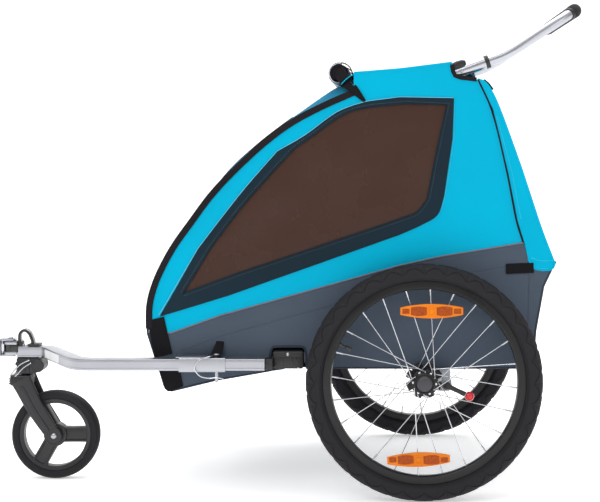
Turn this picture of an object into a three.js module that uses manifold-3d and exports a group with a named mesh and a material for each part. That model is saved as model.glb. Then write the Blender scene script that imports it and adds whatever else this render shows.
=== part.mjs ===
// Child bicycle trailer: a folding fabric cabin on two spoked wheels, with a tow arm on the
// left side, a clip-on caster under the arm's front end, and a push bar at the rear.
// Units are millimetres. +X points to the rear, -Y to the trailer's left side, +Z is up.
// Every x below is counted from the axle. The model is shifted at the end so that x = 0 is the
// middle of its overall length, and z = 0 is the ground.
import * as THREE from 'three';
import { mergeVertices } from 'three/addons/utils/BufferGeometryUtils.js';
import Module from 'manifold-3d';

// ---------------------------------------------------------------- driving dimensions
const AXLE_FROM_MIDDLE = 298.75;

const WHEEL = { radius: 250, width: 47, rimInner: 198, rimOuter: 214, halfTrack: 370, spokes: 24 };
const HUB = { bore: 8.4, body: 15, flange: 28, brakeRing: 39, notches: 8, capRadius: 17.4 };
const SPOKE_RADIUS = 1.1;
const GAP = 0.3;

const RAIL = { inner: 247, outer: 269, bottom: 276, top: 298, front: -545, rear: 222 };
const SIDE = { inner: 303, outer: 308 };
const SKIN = 5;
const FLOOR_HALF_WIDTH = 302.5;

const BOW = { y: 290, radius: 9, pivotX: -535, pivotZ: 285, eyeRadius: 12, pinRadius: 6 };
const SOCKET = { outer: 12.5, inner: 11.4, startX: 62, startZ: 901, endX: 142, endZ: 930 };
const LEG = { y: 258, radius: 9, pivotX: 95, pivotZ: 308, topX: 88, topZ: 872, pinRadius: 5 };
const BAR_RADIUS = 10.7;
const GRIP = { x: 335, z: 1045, halfLength: 150, radius: 15.5 };

const ARM = { y: -340, halfDepth: 16, bottom: 271.5, top: 296.5, rearX: -338, frontX: -908.3, frontY: -140 };
const HITCH_PIN = { x: -441, radius: 3.5 };
const YAW_PIN = { x: -926, radius: 3.3 };
const CASTER = { swivelX: -885, axleX: -823, y: -140, radius: 98.5, width: 38, stemRadius: 9.7 };

const BRAKE_PIN = { x: 34, z: 250, radius: 4 };
const BRAKE_SHAFT = { x: 48, z: 238, radius: 5 };

// ---------------------------------------------------------------- materials
const finish = (color, roughness, metalness) =>
  new THREE.MeshStandardMaterial({ color, roughness, metalness });

const BLUE_FABRIC = () => finish(0x0db4dc, 0.85, 0);
const GREY_FABRIC = () => finish(0x485462, 0.9, 0);
const BLACK_FABRIC = () => finish(0x16171a, 0.9, 0);
const BLACK_PLASTIC = () => finish(0x1c1c1f, 0.55, 0);
const SILVER = () => finish(0xc4c6ca, 0.35, 0.9);
const STEEL = () => finish(0x9a9da3, 0.4, 0.9);
const RUBBER = () => finish(0x17171a, 0.95, 0);
const TINTED_FILM = () => finish(0x4a342d, 0.25, 0);

// ---------------------------------------------------------------- solids and booleans
const wasm = await Module();
wasm.setup();

function solidOf(geometry) {
  const bare = geometry.clone();
  bare.deleteAttribute('normal');
  bare.deleteAttribute('uv');
  const welded = mergeVertices(bare, 1e-4);
  return new wasm.Manifold(new wasm.Mesh({
    numProp: 3,
    vertProperties: new Float32Array(welded.attributes.position.array),
    triVerts: new Uint32Array(welded.index.array),
  }));
}

function geometryOf(solid) {
  const mesh = solid.getMesh();
  const geometry = new THREE.BufferGeometry();
  geometry.setAttribute('position', new THREE.BufferAttribute(mesh.vertProperties, 3));
  geometry.setIndex(new THREE.BufferAttribute(mesh.triVerts, 1));
  geometry.computeVertexNormals();
  return geometry;
}

const joined = (first, ...rest) =>
  geometryOf(rest.reduce((sum, piece) => sum.add(solidOf(piece)), solidOf(first)));

const cut = (body, ...tools) =>
  geometryOf(tools.reduce((left, tool) => left.subtract(solidOf(tool)), solidOf(body)));

// ---------------------------------------------------------------- shape helpers
function box([x0, x1], [y0, y1], [z0, z1]) {
  const geometry = new THREE.BoxGeometry(x1 - x0, y1 - y0, z1 - z0);
  return geometry.translate((x0 + x1) / 2, (y0 + y1) / 2, (z0 + z1) / 2);
}

// A straight round bar between two points.
function rod(from, to, radius, sides = 12) {
  const start = new THREE.Vector3(...from);
  const end = new THREE.Vector3(...to);
  const span = end.clone().sub(start);
  const geometry = new THREE.CylinderGeometry(radius, radius, span.length(), sides);
  const turn = new THREE.Quaternion().setFromUnitVectors(
    new THREE.Vector3(0, 1, 0), span.clone().normalize());
  const middle = start.add(end).multiplyScalar(0.5);
  return geometry.applyQuaternion(turn).translate(middle.x, middle.y, middle.z);
}

function roundSection(radius, sides) {
  const corners = Array.from({ length: sides }, (_, i) => (i * 2 * Math.PI) / sides);
  return new THREE.Shape(corners.map((a) => new THREE.Vector2(radius * Math.cos(a), radius * Math.sin(a))));
}

// A round bar swept along a smooth path through the points.
function bentBar(points, radius, steps, sides = 8) {
  const path = new THREE.CatmullRomCurve3(points.map((p) => new THREE.Vector3(...p)), false, 'centripetal');
  return new THREE.ExtrudeGeometry(roundSection(radius, sides), { steps, bevelEnabled: false, extrudePath: path });
}

// An outline in the XZ plane, given thickness from y0 to y1.
function plate(outline, [y0, y1], holes = []) {
  const shape = new THREE.Shape(outline.map(([x, z]) => new THREE.Vector2(x, z)));
  shape.holes = holes.map((hole) => new THREE.Path(hole.map(([x, z]) => new THREE.Vector2(x, z))));
  const geometry = new THREE.ExtrudeGeometry(shape, { depth: y1 - y0, bevelEnabled: false });
  return geometry.rotateX(Math.PI / 2).translate(0, y1, 0);
}

// An outline in the XY plane, given height from z0 to z1.
function slab(outline, [z0, z1]) {
  const shape = new THREE.Shape(outline.map(([x, y]) => new THREE.Vector2(x, y)));
  return new THREE.ExtrudeGeometry(shape, { depth: z1 - z0, bevelEnabled: false }).translate(0, 0, z0);
}

// A smooth line through a few points.
const smooth = (points, divisions) =>
  new THREE.SplineCurve(points.map(([x, y]) => new THREE.Vector2(x, y)))
    .getPoints(divisions).map((p) => [p.x, p.y]);

// The outline of a strip of even thickness along a line.
function strip(line, thickness) {
  const offsets = line.map((point, i) => {
    const before = line[Math.max(i - 1, 0)];
    const after = line[Math.min(i + 1, line.length - 1)];
    const length = Math.hypot(after[0] - before[0], after[1] - before[1]);
    return [-(after[1] - before[1]) / length * thickness / 2, (after[0] - before[0]) / length * thickness / 2];
  });
  const upper = line.map(([x, y], i) => [x + offsets[i][0], y + offsets[i][1]]);
  const lower = line.map(([x, y], i) => [x - offsets[i][0], y - offsets[i][1]]);
  return [...upper, ...lower.reverse()];
}

// A ring or knob turned about the Y axis from [radius, y] points, listed inboard first.
function turned(profile, segments) {
  const closed = profile[0][0] === 0 ? profile : [...profile, profile[0]];
  return new THREE.LatheGeometry(closed.map(([r, y]) => new THREE.Vector2(r, y)), segments);
}

const arc = (x, z, radius, fromDegrees, toDegrees, divisions) =>
  Array.from({ length: divisions + 1 }, (_, i) => {
    const angle = THREE.MathUtils.degToRad(fromDegrees + ((toDegrees - fromDegrees) * i) / divisions);
    return [x + radius * Math.cos(angle), z + radius * Math.sin(angle)];
  });

// The span of y from inner to outer on one side: -1 is left, +1 is right.
const across = (side, inner, outer) => (side < 0 ? [-outer, -inner] : [inner, outer]);

const SIDES = [['left', -1], ['right', 1]];
const trailer = new THREE.Group();
trailer.position.x = AXLE_FROM_MIDDLE;

function add(name, geometry, material, parent = trailer) {
  const mesh = new THREE.Mesh(geometry, material);
  mesh.name = name;
  parent.add(mesh);
  return mesh;
}

// ---------------------------------------------------------------- outlines of the cabin's side
const frontEdge = smooth([[-150, 862], [-341, 762], [-456, 662], [-535, 552], [-592, 416], [-593, 356]], 14);
const waistLine = [[-542, 346], [-437, 384], [-51, 491.5], [35, 510.5], [214, 540]];
const rearSeam = [[214, 540], [200, 586], [180, 689], [146, 827], [118, 889]];
const rearHem = [[226, 500], [277, 487]];

const sideOutline = [
  ...frontEdge.toReversed(),
  [-150, 904], [-50, 912], [61, 926], [68, 897],
  ...rearSeam.toReversed(),
  ...waistLine.toReversed(),
];

const windowOutline = [
  [-566, 383], [-417, 429], [-51, 559],
  ...smooth([[-10, 577], [28, 600], [42, 640]], 4),
  [60, 764], [64, 848], [-51, 850],
  ...smooth([[-122, 840], [-225, 788], [-371, 664], [-478, 532]], 9),
];

const tubOutline = [
  [-594, 350], ...waistLine, ...rearHem,
  [257, 446], [240, 351], [236, 300], [222, 271],
  [-297, 271], [-446, 245], [-541, 222], [-556, 234], [-577, 297],
];

// ---------------------------------------------------------------- floor frame and axle
function floorFrame() {
  for (const [name, side] of SIDES) {
    const rail = box([RAIL.front, RAIL.rear], across(side, RAIL.inner, RAIL.outer), [RAIL.bottom, RAIL.top]);
    const bowPin = rod([BOW.pivotX, side * (RAIL.outer - 2), BOW.pivotZ],
      [BOW.pivotX, side * (BOW.y + BOW.radius - 1), BOW.pivotZ], BOW.pinRadius);
    const ear = box([LEG.pivotX - 14, LEG.pivotX + 14], across(side, RAIL.outer - 1, RAIL.outer + 6),
      [RAIL.top - 12, LEG.pivotZ + 12]);
    const legPin = rod([LEG.pivotX, side * (RAIL.outer + 3), LEG.pivotZ],
      [LEG.pivotX, side * (LEG.y - LEG.radius + 2), LEG.pivotZ], LEG.pinRadius);
    add(`floor_rail_${name}`, joined(rail, bowPin, ear, legPin), SILVER());
  }
  const between = [-RAIL.inner + GAP, RAIL.inner - GAP];
  add('front_cross_tube', box([-541, -519], between, [RAIL.bottom, RAIL.top]), SILVER());
  add('rear_cross_tube', box([198, 220], between, [RAIL.bottom, RAIL.top]), SILVER());
  add('floor_panel', plate(
    strip([[-530, 229], [-446, 250], [-304, 268.5], [-290, 273.4], [220, 273.4]], 4),
    [-FLOOR_HALF_WIDTH, FLOOR_HALF_WIDTH]), GREY_FABRIC());
}

function axleAssembly() {
  add('axle_beam', box([-15, 15], [-234.7, 234.7], [240, 268]), STEEL());
  for (const [name, side] of SIDES) {
    const y = (distance) => side * distance;
    const receiver = box([-24, 22], across(side, 235, 333), [237, 270.7]);
    const stubAxle = rod([0, y(300), WHEEL.radius], [0, y(388), WHEEL.radius], 8);
    add(`axle_receiver_${name}`, joined(receiver, stubAxle), BLACK_PLASTIC());

    const brakeBore = rod([BRAKE_PIN.x, y(255), BRAKE_PIN.z], [BRAKE_PIN.x, y(340), BRAKE_PIN.z],
      BRAKE_PIN.radius + 0.3);
    const shaftBore = rod([BRAKE_SHAFT.x, y(255), BRAKE_SHAFT.z], [BRAKE_SHAFT.x, y(340), BRAKE_SHAFT.z],
      BRAKE_SHAFT.radius + 0.3);
    const bracket = box([25, 56], across(side, 298, 333), [230, 270.7]);
    add(`brake_bracket_${name}`, cut(bracket, brakeBore, shaftBore), STEEL());
    add(`brake_pin_${name}`, rod([BRAKE_PIN.x, y(296), BRAKE_PIN.z], [BRAKE_PIN.x, y(334.5), BRAKE_PIN.z],
      BRAKE_PIN.radius), STEEL());
  }
}

// The foot lever turns a shaft that runs under the floor to the other wheel.
function brakeLever() {
  const { x, z, radius } = BRAKE_SHAFT;
  const shaft = rod([x, -340, z], [x, 330, z], radius);
  const boss = rod([x, -342, z], [x, -333.5, z], 8);
  const lever = plate(strip([[x, z], [88, 219]], 10), [-342, -334]);
  add('brake_lever', joined(shaft, boss, lever), BLACK_PLASTIC());
  const knob = new THREE.SphereGeometry(10, 12, 8).translate(96, -336, 215);
  add('brake_knob', cut(knob, box([80, 90.2], [-350, -320], [200, 230])), finish(0xc8202a, 0.3, 0));
}

// ---------------------------------------------------------------- main wheels
function spokedHub() {
  const hub = turned([
    [HUB.bore, 34], [HUB.brakeRing, 34], [HUB.brakeRing, 26], [17, 26], [17, 24],
    [HUB.flange, 24], [HUB.flange, 18.5], [HUB.body, 18.5], [HUB.body, -12], [HUB.flange, -12],
    [HUB.flange, -18], [21, -18], [21, -28], [17.8, -28], [17.8, -20], [HUB.bore, -20],
  ].toReversed(), 16);
  const notches = Array.from({ length: HUB.notches }, (_, i) => {
    const notch = box([28, 42], [25, 35], [-5.6, 5.6]);
    return notch.rotateY((i * 2 * Math.PI) / HUB.notches);
  });
  const spokes = Array.from({ length: WHEEL.spokes }, (_, i) => {
    const rimAngle = (i * 2 * Math.PI) / WHEEL.spokes;
    const lead = Math.floor(i / 2) % 2 ? -1 : 1;
    const hubAngle = rimAngle + (lead * Math.PI) / 3;
    const flangeY = (i % 2 ? 21 : -15) + lead * 1.8;
    const reach = WHEEL.rimInner - 1;
    return rod([24 * Math.cos(hubAngle), flangeY, 24 * Math.sin(hubAngle)],
      [reach * Math.cos(rimAngle), Math.sign(flangeY) * 2, reach * Math.sin(rimAngle)], SPOKE_RADIUS, 3);
  });
  return joined(cut(hub, ...notches), ...spokes);
}

function mainWheel(name, side) {
  const wheel = new THREE.Group();
  wheel.position.set(0, side * WHEEL.halfTrack, WHEEL.radius);
  wheel.rotation.z = side < 0 ? 0 : Math.PI;
  trailer.add(wheel);

  const half = WHEEL.width / 2;
  const tread = [[WHEEL.rimOuter + 0.8, -13], [224, -half], [240, -19.5], [WHEEL.radius, -6]];
  const mirrored = tread.map(([r, y]) => [r, -y]).toReversed();
  add(`tyre_${name}`, turned([...tread, ...mirrored], 48), RUBBER(), wheel);
  add(`rim_${name}`, turned([
    [WHEEL.rimInner, -5], [202, -12], [WHEEL.rimOuter, -12],
    [WHEEL.rimOuter, 12], [202, 12], [WHEEL.rimInner, 5],
  ], 36), finish(0x202124, 0.4, 0.4), wheel);
  add(`hub_${name}`, spokedHub(), STEEL(), wheel);
  add(`hub_button_${name}`, turned([
    [0, -34], [9, -33.4], [15, -31], [HUB.capRadius, -27.5], [HUB.capRadius, -24], [0, -24],
  ], 20), finish(0x3a393d, 0.5, 0), wheel);
}

// ---------------------------------------------------------------- folding upper frame
function bowPath(side) {
  const y = side * BOW.y;
  return [
    [BOW.pivotX, y, BOW.pivotZ], [-566, y, 350], [-574, y, 416], [-545, y, 490], [-440, y, 650],
    [-330, y, 745], [-215, y, 822], [-140, y, 866], [-60, y, 884], [20, y, 890], [SOCKET.startX + 4, y, 902],
  ];
}

function upperFrame() {
  const { startX, startZ, endX, endZ } = SOCKET;
  for (const [name, side] of SIDES) {
    const y = side * BOW.y;
    const buttonZ = startZ + (20 * (endZ - startZ)) / (endX - startX);
    const tube = bentBar(bowPath(side), BOW.radius, 24);
    const eye = rod([BOW.pivotX, y - BOW.radius, BOW.pivotZ], [BOW.pivotX, y + BOW.radius, BOW.pivotZ], BOW.eyeRadius);
    const eyeBore = rod([BOW.pivotX, y - 15, BOW.pivotZ], [BOW.pivotX, y + 15, BOW.pivotZ], BOW.pinRadius + 0.5);
    const socket = rod([startX, y, startZ], [endX, y, endZ], SOCKET.outer, 16);
    const socketBore = rod([startX + 9.4, y, startZ + 3.4], [endX + 18.8, y, endZ + 6.8], SOCKET.inner, 16);
    const buttonHole = rod([startX + 20, y, buttonZ], [startX + 20, y + side * 20, buttonZ], 4.5);
    add(`bow_${name}`, cut(joined(tube, eye, socket), eyeBore, socketBore, buttonHole), SILVER());
    add(`socket_button_${name}`,
      rod([startX + 20, side * 303, buttonZ], [startX + 20, side * 306, buttonZ], 4), STEEL());
  }
  add('top_cross_tube', rod([75, -276.8, 902], [75, 276.8, 902], 9, 10), SILVER());
}

function rearLegs() {
  for (const [name, side] of SIDES) {
    const y = side * LEG.y;
    const ends = [y - LEG.radius, y + LEG.radius];
    const tube = rod([LEG.pivotX, y, LEG.pivotZ], [LEG.topX, y, LEG.topZ], LEG.radius, 10);
    const eye = rod([LEG.pivotX, ends[0], LEG.pivotZ], [LEG.pivotX, ends[1], LEG.pivotZ], LEG.radius);
    const bore = rod([LEG.pivotX, y - 15, LEG.pivotZ], [LEG.pivotX, y + 15, LEG.pivotZ], LEG.pinRadius + 0.5);
    add(`rear_leg_${name}`, cut(joined(tube, eye), bore), SILVER());
  }
  add('leg_cross_tube', rod([88.5, -248.7, 840], [88.5, 248.7, 840], 8, 10), SILVER());
}

function handlebar() {
  const half = [
    [76, -BOW.y, 906.1], [142, -BOW.y, 930], [166, -BOW.y, 938.7], [196, -BOW.y + 1, 954],
    [250, -280, 989], [302, -268, 1023], [326, -250, 1039], [GRIP.x, -215, GRIP.z],
    [GRIP.x, -GRIP.halfLength, GRIP.z], [GRIP.x, -75, GRIP.z],
  ];
  const mirrored = half.map(([x, y, z]) => [x, -y, z]).toReversed();
  add('push_bar', bentBar([...half, ...mirrored], BAR_RADIUS, 46), SILVER());
  const { x, z, halfLength, radius } = GRIP;
  const foam = rod([x, -halfLength, z], [x, halfLength, z], radius, 12);
  const bore = rod([x, -halfLength - 5, z], [x, halfLength + 5, z], BAR_RADIUS + 0.9, 12);
  add('push_bar_grip', cut(foam, bore), finish(0x1b1b1d, 0.95, 0));
}

// ---------------------------------------------------------------- fabric body
function tub() {
  const between = [-FLOOR_HALF_WIDTH, FLOOR_HALF_WIDTH];
  const armBracketHole = box([-502, -438], [-320, -300], [274, 293]);
  const anchorCutOut = box([-327, -253], [-320, -300], [250, 314]);
  for (const [name, side] of SIDES) {
    const panel = plate(tubOutline, across(side, SIDE.inner, SIDE.outer));
    const geometry = side < 0 ? cut(panel, armBracketHole, anchorCutOut) : panel;
    add(`tub_side_${name}`, geometry, GREY_FABRIC());
  }
  add('tub_front', plate(strip([[-540, 227], [-555, 238], [-576, 297], [-592, 344]], SKIN), between), GREY_FABRIC());
  add('tub_rear', plate(strip([[229, 278], [236, 351], [254, 446], [273, 484]], SKIN), between), GREY_FABRIC());
}

function canopy() {
  const between = [-FLOOR_HALF_WIDTH, FLOOR_HALF_WIDTH];
  for (const [name, side] of SIDES) {
    add(`canopy_side_${name}`,
      plate(sideOutline, across(side, SIDE.inner, SIDE.outer), [windowOutline]), BLUE_FABRIC());
    const film = plate(windowOutline, across(side, 300.4, 302.7)).translate(0, 0, -650).scale(1.01, 1, 1.02);
    add(`window_${name}`, film.translate(0, 0, 650), TINTED_FILM());
  }
  const roof = plate(strip([[-150, 901.5], [-50, 909.5], [61, 923.5], [108, 900]], SKIN), between);
  const corners = SIDES.map(([, side]) => box([40, 130], across(side, 273, 310), [880, 940]));
  add('canopy_roof', cut(roof, ...corners), BLUE_FABRIC());
}

function covers() {
  const frontLine = smooth([[-202, 868], [-304, 793], [-437, 682], [-554, 514], [-604, 399], [-602, 354]], 12);
  add('front_cover', plate(strip(frontLine, SKIN), [-300, 300]), BLUE_FABRIC());

  const rearLine = smooth([[126, 887], [150, 862], [200, 734], [256, 567], [285, 493]], 8);
  const back = plate(strip(rearLine, SKIN), [-304, 304]);
  const gussetOutline = [
    ...rearLine.slice(1),
    ...[[229, 504], [216, 540], [202, 586], [182, 689], [148, 827]].map(([x, z]) => [x + 1, z + 2]),
  ];
  const gussets = SIDES.map(([, side]) => plate(gussetOutline, across(side, SIDE.inner, SIDE.outer)));
  add('rear_cover', joined(back, ...gussets), BLUE_FABRIC());

  const roll = turned([
    [0, 272], [14, 268], [24, 235], [27, 120], [25, 0], [27, -120], [24, -235], [14, -268], [0, -272],
  ].toReversed(), 12);
  add('rolled_rain_cover', roll.translate(-180, 0, 906), BLACK_FABRIC());
}

function seats() {
  const width = [-238, 238];
  add('seat_base', plate(strip([[-250, 374], [-100, 362], [46, 354]], 14), width), BLACK_FABRIC());
  add('seat_back', plate(strip([[62, 372], [64, 600], [68, 832]], 14), width), BLACK_FABRIC());
  for (const [name, side] of SIDES) {
    const centre = side * 120;
    const straps = [-1, 1].map((hand) => rod([44, centre + hand * 55, 770], [45, centre + hand * 16, 460], 9, 6));
    const buckle = box([34, 53], [centre - 28, centre + 28], [440, 480]);
    add(`harness_${name}`, joined(buckle, ...straps), BLACK_FABRIC());
  }
}

// ---------------------------------------------------------------- tow arm and its fittings
function towArm() {
  const { y, halfDepth, bottom, top, rearX, frontX, frontY } = ARM;
  const line = [
    [rearX, y], [-690, y], ...smooth([[-712, y], [-732, y + 7], [-748, y + 24]], 4),
    ...smooth([[-828, frontY - 26], [-842, frontY - 9], [-862, frontY]], 4), [frontX, frontY],
  ];
  const pinHole = rod([HITCH_PIN.x, y, 240], [HITCH_PIN.x, y, 320], HITCH_PIN.radius + 0.5);
  add('tow_arm', cut(slab(strip(line, 2 * halfDepth), [bottom, top]), pinHole), SILVER());

  const sleeve = box([-519, -421], [y - 19.5, y + 19.5], [269, 299]);
  const bracket = box([-498, -442], [y + 19, -RAIL.outer - GAP], [277, 290]);
  const channel = box([-530, -410], [y - halfDepth - 0.4, y + halfDepth + 0.4], [bottom - 0.4, top + 0.4]);
  add('arm_receiver', cut(joined(sleeve, bracket), channel, pinHole), SILVER());

  const anchor = box([-322, -258], [-330, -SIDE.inner], [271, 309]);
  const root = box([-322, -258], [-SIDE.inner - 1, -RAIL.outer - GAP], [RAIL.bottom, 309]);
  const nose = box([rearX + GAP, -321], [-352, -322], [273, 295]);
  add('arm_anchor', joined(anchor, root, nose), BLACK_PLASTIC());
}

function hitchPin() {
  const { x, radius } = HITCH_PIN;
  const shank = rod([x, ARM.y, 245], [x, ARM.y, 302], radius);
  const head = rod([x, ARM.y, 299.6], [x, ARM.y, 306], 6);
  add('hitch_pin', joined(shank, head), STEEL());
  const wire = [
    [-444, -349, 303], [-455, -361, 302], [-477, -363, 294], [-485, -363, 278],
    [-474, -363, 262], [-455, -362, 257], [-437, -362, 258], [-424, -362, 255],
  ];
  add('hitch_pin_clip', bentBar(wire, 1.2, 18, 5), STEEL());
}

function coupling() {
  const { x, radius } = YAW_PIN;
  const y = CASTER.y;
  const nose = [[ARM.frontX - GAP, y - 15], [ARM.frontX - GAP, y + 15], ...arc(x, y, 15, 90, 270, 10)];
  const pinHole = rod([x, y, 270], [x, y, 320], radius + 0.5);
  add('tow_coupling', cut(slab(nose, [278.5, 308.5]), pinHole), BLACK_PLASTIC());

  const plates = [[309, 313], [274, 278]].map((heights) => box([-947, -914], [y - 12, y + 12], heights));
  const front = box([-948, -945], [y - 18, y + 18], [274, 313]);
  const pin = rod([x, y, 276], [x, y, 311], radius);
  add('coupling_yoke', joined(front, ...plates, pin), STEEL());

  const strap = strip(smooth([[-906, 311], [-903, 324], [-892, 333], [-880, 326], [-873, 299]], 8), 3);
  add('safety_strap', plate(strap, [y - 12, y + 12]), BLACK_FABRIC());
}

// ---------------------------------------------------------------- caster
function caster() {
  const { swivelX, axleX, y, radius, width, stemRadius } = CASTER;
  const head = [
    [-908, 271], [-908, 240], [-903, 236.5], [-868, 236.5], ...arc(-862, 254, 16, -90, 90, 6), [-868, 271],
  ];
  const stemBore = rod([swivelX, y, 230], [swivelX, y, 264], stemRadius + 0.5);
  add('steering_head', cut(plate(head, [y - 24, y + 24]), stemBore), BLACK_PLASTIC());

  const legOutline = [[-922, 234], [-922, 212], ...arc(axleX, radius, 19, 215, 395, 8), [-872, 234]];
  const legs = [-1, 1].map((hand) => plate(legOutline, across(hand, 22, 30)).translate(0, y, 0));
  const crown = box([-922, -876], [y - 30, y + 30], [210, 234]);
  const stem = rod([swivelX, y, 225], [swivelX, y, 262], stemRadius);
  const axle = rod([axleX, y - 34, radius], [axleX, y + 34, radius], 5);
  add('caster_fork', joined(crown, ...legs, stem, axle), BLACK_PLASTIC());

  const wheel = new THREE.Group();
  wheel.position.set(axleX, y, radius);
  trailer.add(wheel);
  const half = width / 2;
  add('caster_tyre', turned([
    [80.4, -15], [90, -half], [radius, -9], [radius, 9], [90, half], [80.4, 15],
  ], 36), RUBBER(), wheel);

  const ring = turned([[71, -13], [80, -15], [80, 15], [71, 13]], 36);
  const boss = turned([[0, -18], [26, -18], [26, 18], [0, 18]], 24);
  const spokes = [0, 120, 240].map((degrees) =>
    box([10, 74], [-12, 12], [-14, 14]).rotateY(THREE.MathUtils.degToRad(degrees)));
  const bore = rod([0, -30, 0], [0, 30, 0], 5.5);
  add('caster_rim', cut(joined(ring, boss, ...spokes), bore), BLACK_PLASTIC(), wheel);
}

// ---------------------------------------------------------------- assembly
floorFrame();
axleAssembly();
brakeLever();
SIDES.forEach(([name, side]) => mainWheel(name, side));
upperFrame();
rearLegs();
handlebar();
tub();
canopy();
covers();
seats();
towArm();
hitchPin();
coupling();
caster();

export default trailer;
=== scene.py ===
"""Child bicycle trailer: the visible model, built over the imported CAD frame.

Lengths in this script are millimetres counted from the axle, as in the CAD source, until at() turns
them into metres in the frame's own coordinates.
"""
import math

import bmesh
import bpy
from mathutils import Matrix, Vector, noise
from mathutils.geometry import delaunay_2d_cdt


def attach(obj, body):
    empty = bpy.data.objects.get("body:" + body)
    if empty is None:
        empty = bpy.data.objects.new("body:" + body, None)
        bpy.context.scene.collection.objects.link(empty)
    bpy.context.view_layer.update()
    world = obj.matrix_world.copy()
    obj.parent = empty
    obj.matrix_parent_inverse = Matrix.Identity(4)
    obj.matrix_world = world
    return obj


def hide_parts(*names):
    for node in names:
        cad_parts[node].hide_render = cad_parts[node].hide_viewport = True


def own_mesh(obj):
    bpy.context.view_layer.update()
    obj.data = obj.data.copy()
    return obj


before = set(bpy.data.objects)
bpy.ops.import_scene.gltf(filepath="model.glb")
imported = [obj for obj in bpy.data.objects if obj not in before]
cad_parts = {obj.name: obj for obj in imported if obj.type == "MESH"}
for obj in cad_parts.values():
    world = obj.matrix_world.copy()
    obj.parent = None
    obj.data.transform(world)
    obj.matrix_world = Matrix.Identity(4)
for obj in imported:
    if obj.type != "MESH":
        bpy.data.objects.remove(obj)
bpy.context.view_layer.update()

AXLE_FROM_MIDDLE = 298.75
SIDES = (("left", -1), ("right", 1))


def at(x, y, z):
    return Vector(((x + AXLE_FROM_MIDDLE) / 1000, y / 1000, z / 1000))


# ---------------------------------------------------------------- camera, light and floor
def make_camera():
    data = bpy.data.cameras.new("camera")
    data.lens = 94.0
    data.sensor_width = 36.0
    data.shift_x = -0.14
    data.shift_y = -0.1842
    data.clip_end = 60
    camera = bpy.data.objects.new("camera", data)
    camera.location = (0.21375, -3.67, 0.759)
    camera.rotation_euler = (math.radians(90), 0, 0)
    bpy.context.scene.collection.objects.link(camera)
    bpy.context.scene.camera = camera


def area_light(name, place, target, size, power):
    data = bpy.data.lights.new(name, "AREA")
    data.shape = "RECTANGLE"
    data.size, data.size_y = size
    data.energy = power
    light = bpy.data.objects.new(name, data)
    light.location = place
    light.rotation_euler = (Vector(target) - Vector(place)).to_track_quat("-Z", "Y").to_euler()
    bpy.context.scene.collection.objects.link(light)


# How bright the sky is at each height of view, from the horizon (0) to straight up (1).
SKY_BANDS = ((0.0, 0.62), (0.14, 0.7), (0.34, 0.42), (0.62, 0.7), (0.9, 1.15))


def make_studio():
    scene = bpy.context.scene
    scene.view_settings.view_transform = "Standard"
    world = bpy.data.worlds.new("studio")
    world.use_nodes = True
    nodes, links = world.node_tree.nodes, world.node_tree.links
    sky = nodes["Background"]
    heading = nodes.new("ShaderNodeTexCoord")
    split = nodes.new("ShaderNodeSeparateXYZ")
    bands = nodes.new("ShaderNodeValToRGB")
    for _ in range(3):
        bands.color_ramp.elements.new(0.5)
    for stop, (height, grey) in zip(bands.color_ramp.elements, SKY_BANDS):
        stop.position = height
        stop.color = (grey, grey, grey, 1)
    links.new(heading.outputs["Generated"], split.inputs[0])
    links.new(split.outputs["Z"], bands.inputs["Fac"])
    links.new(bands.outputs["Color"], sky.inputs["Color"])
    sky.inputs["Strength"].default_value = 1.0
    scene.world = world
    area_light("key", (-1.6, -3.2, 3.4), (0, 0, 0.4), (2.4, 1.8), 48)
    area_light("fill", (2.6, -3.0, 1.6), (0.1, 0, 0.5), (2.0, 1.6), 12)
    area_light("top", (0.2, 0.4, 3.6), (0.1, 0, 0.5), (2.6, 2.6), 48)
    area_light("back", (0.6, 3.4, 2.6), (0, 0, 0.5), (2.4, 1.8), 30)

    bm = bmesh.new()
    reach, depth, rise = 14, 9, 1.2
    rows = [(-depth, 0), (depth - rise, 0)]
    rows += [(depth - rise + rise * math.sin(a), rise - rise * math.cos(a))
             for a in (math.radians(15 * i) for i in range(1, 7))]
    rows += [(depth, 9)]
    corners = [[bm.verts.new((x, y, z)) for x in (-reach, reach)] for y, z in rows]
    for low, high in zip(corners, corners[1:]):
        bm.faces.new((low[0], low[1], high[1], high[0])).smooth = True
    mesh = bpy.data.meshes.new("backdrop")
    bm.to_mesh(mesh)
    backdrop = bpy.data.objects.new("backdrop", mesh)
    backdrop.location.z = -0.0005
    paint = Look("backdrop_paint", (0.97, 0.97, 0.97), 0.95, Specular_IOR_Level=0.1,
                 Emission_Color=(1, 1, 1, 1), Emission_Strength=0.38)
    mottle = paint.noise(scale=3.0, detail=3.0)
    paint.link("Roughness", paint.remap(mottle, 0.85, 1.0))
    mesh.materials.append(paint.material)
    scene.collection.objects.link(backdrop)


# ---------------------------------------------------------------- materials
def srgb(red, green, blue):
    return tuple(((c / 255 + 0.055) / 1.055) ** 2.4 if c > 10 else c / 3294.6 for c in (red, green, blue))


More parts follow.
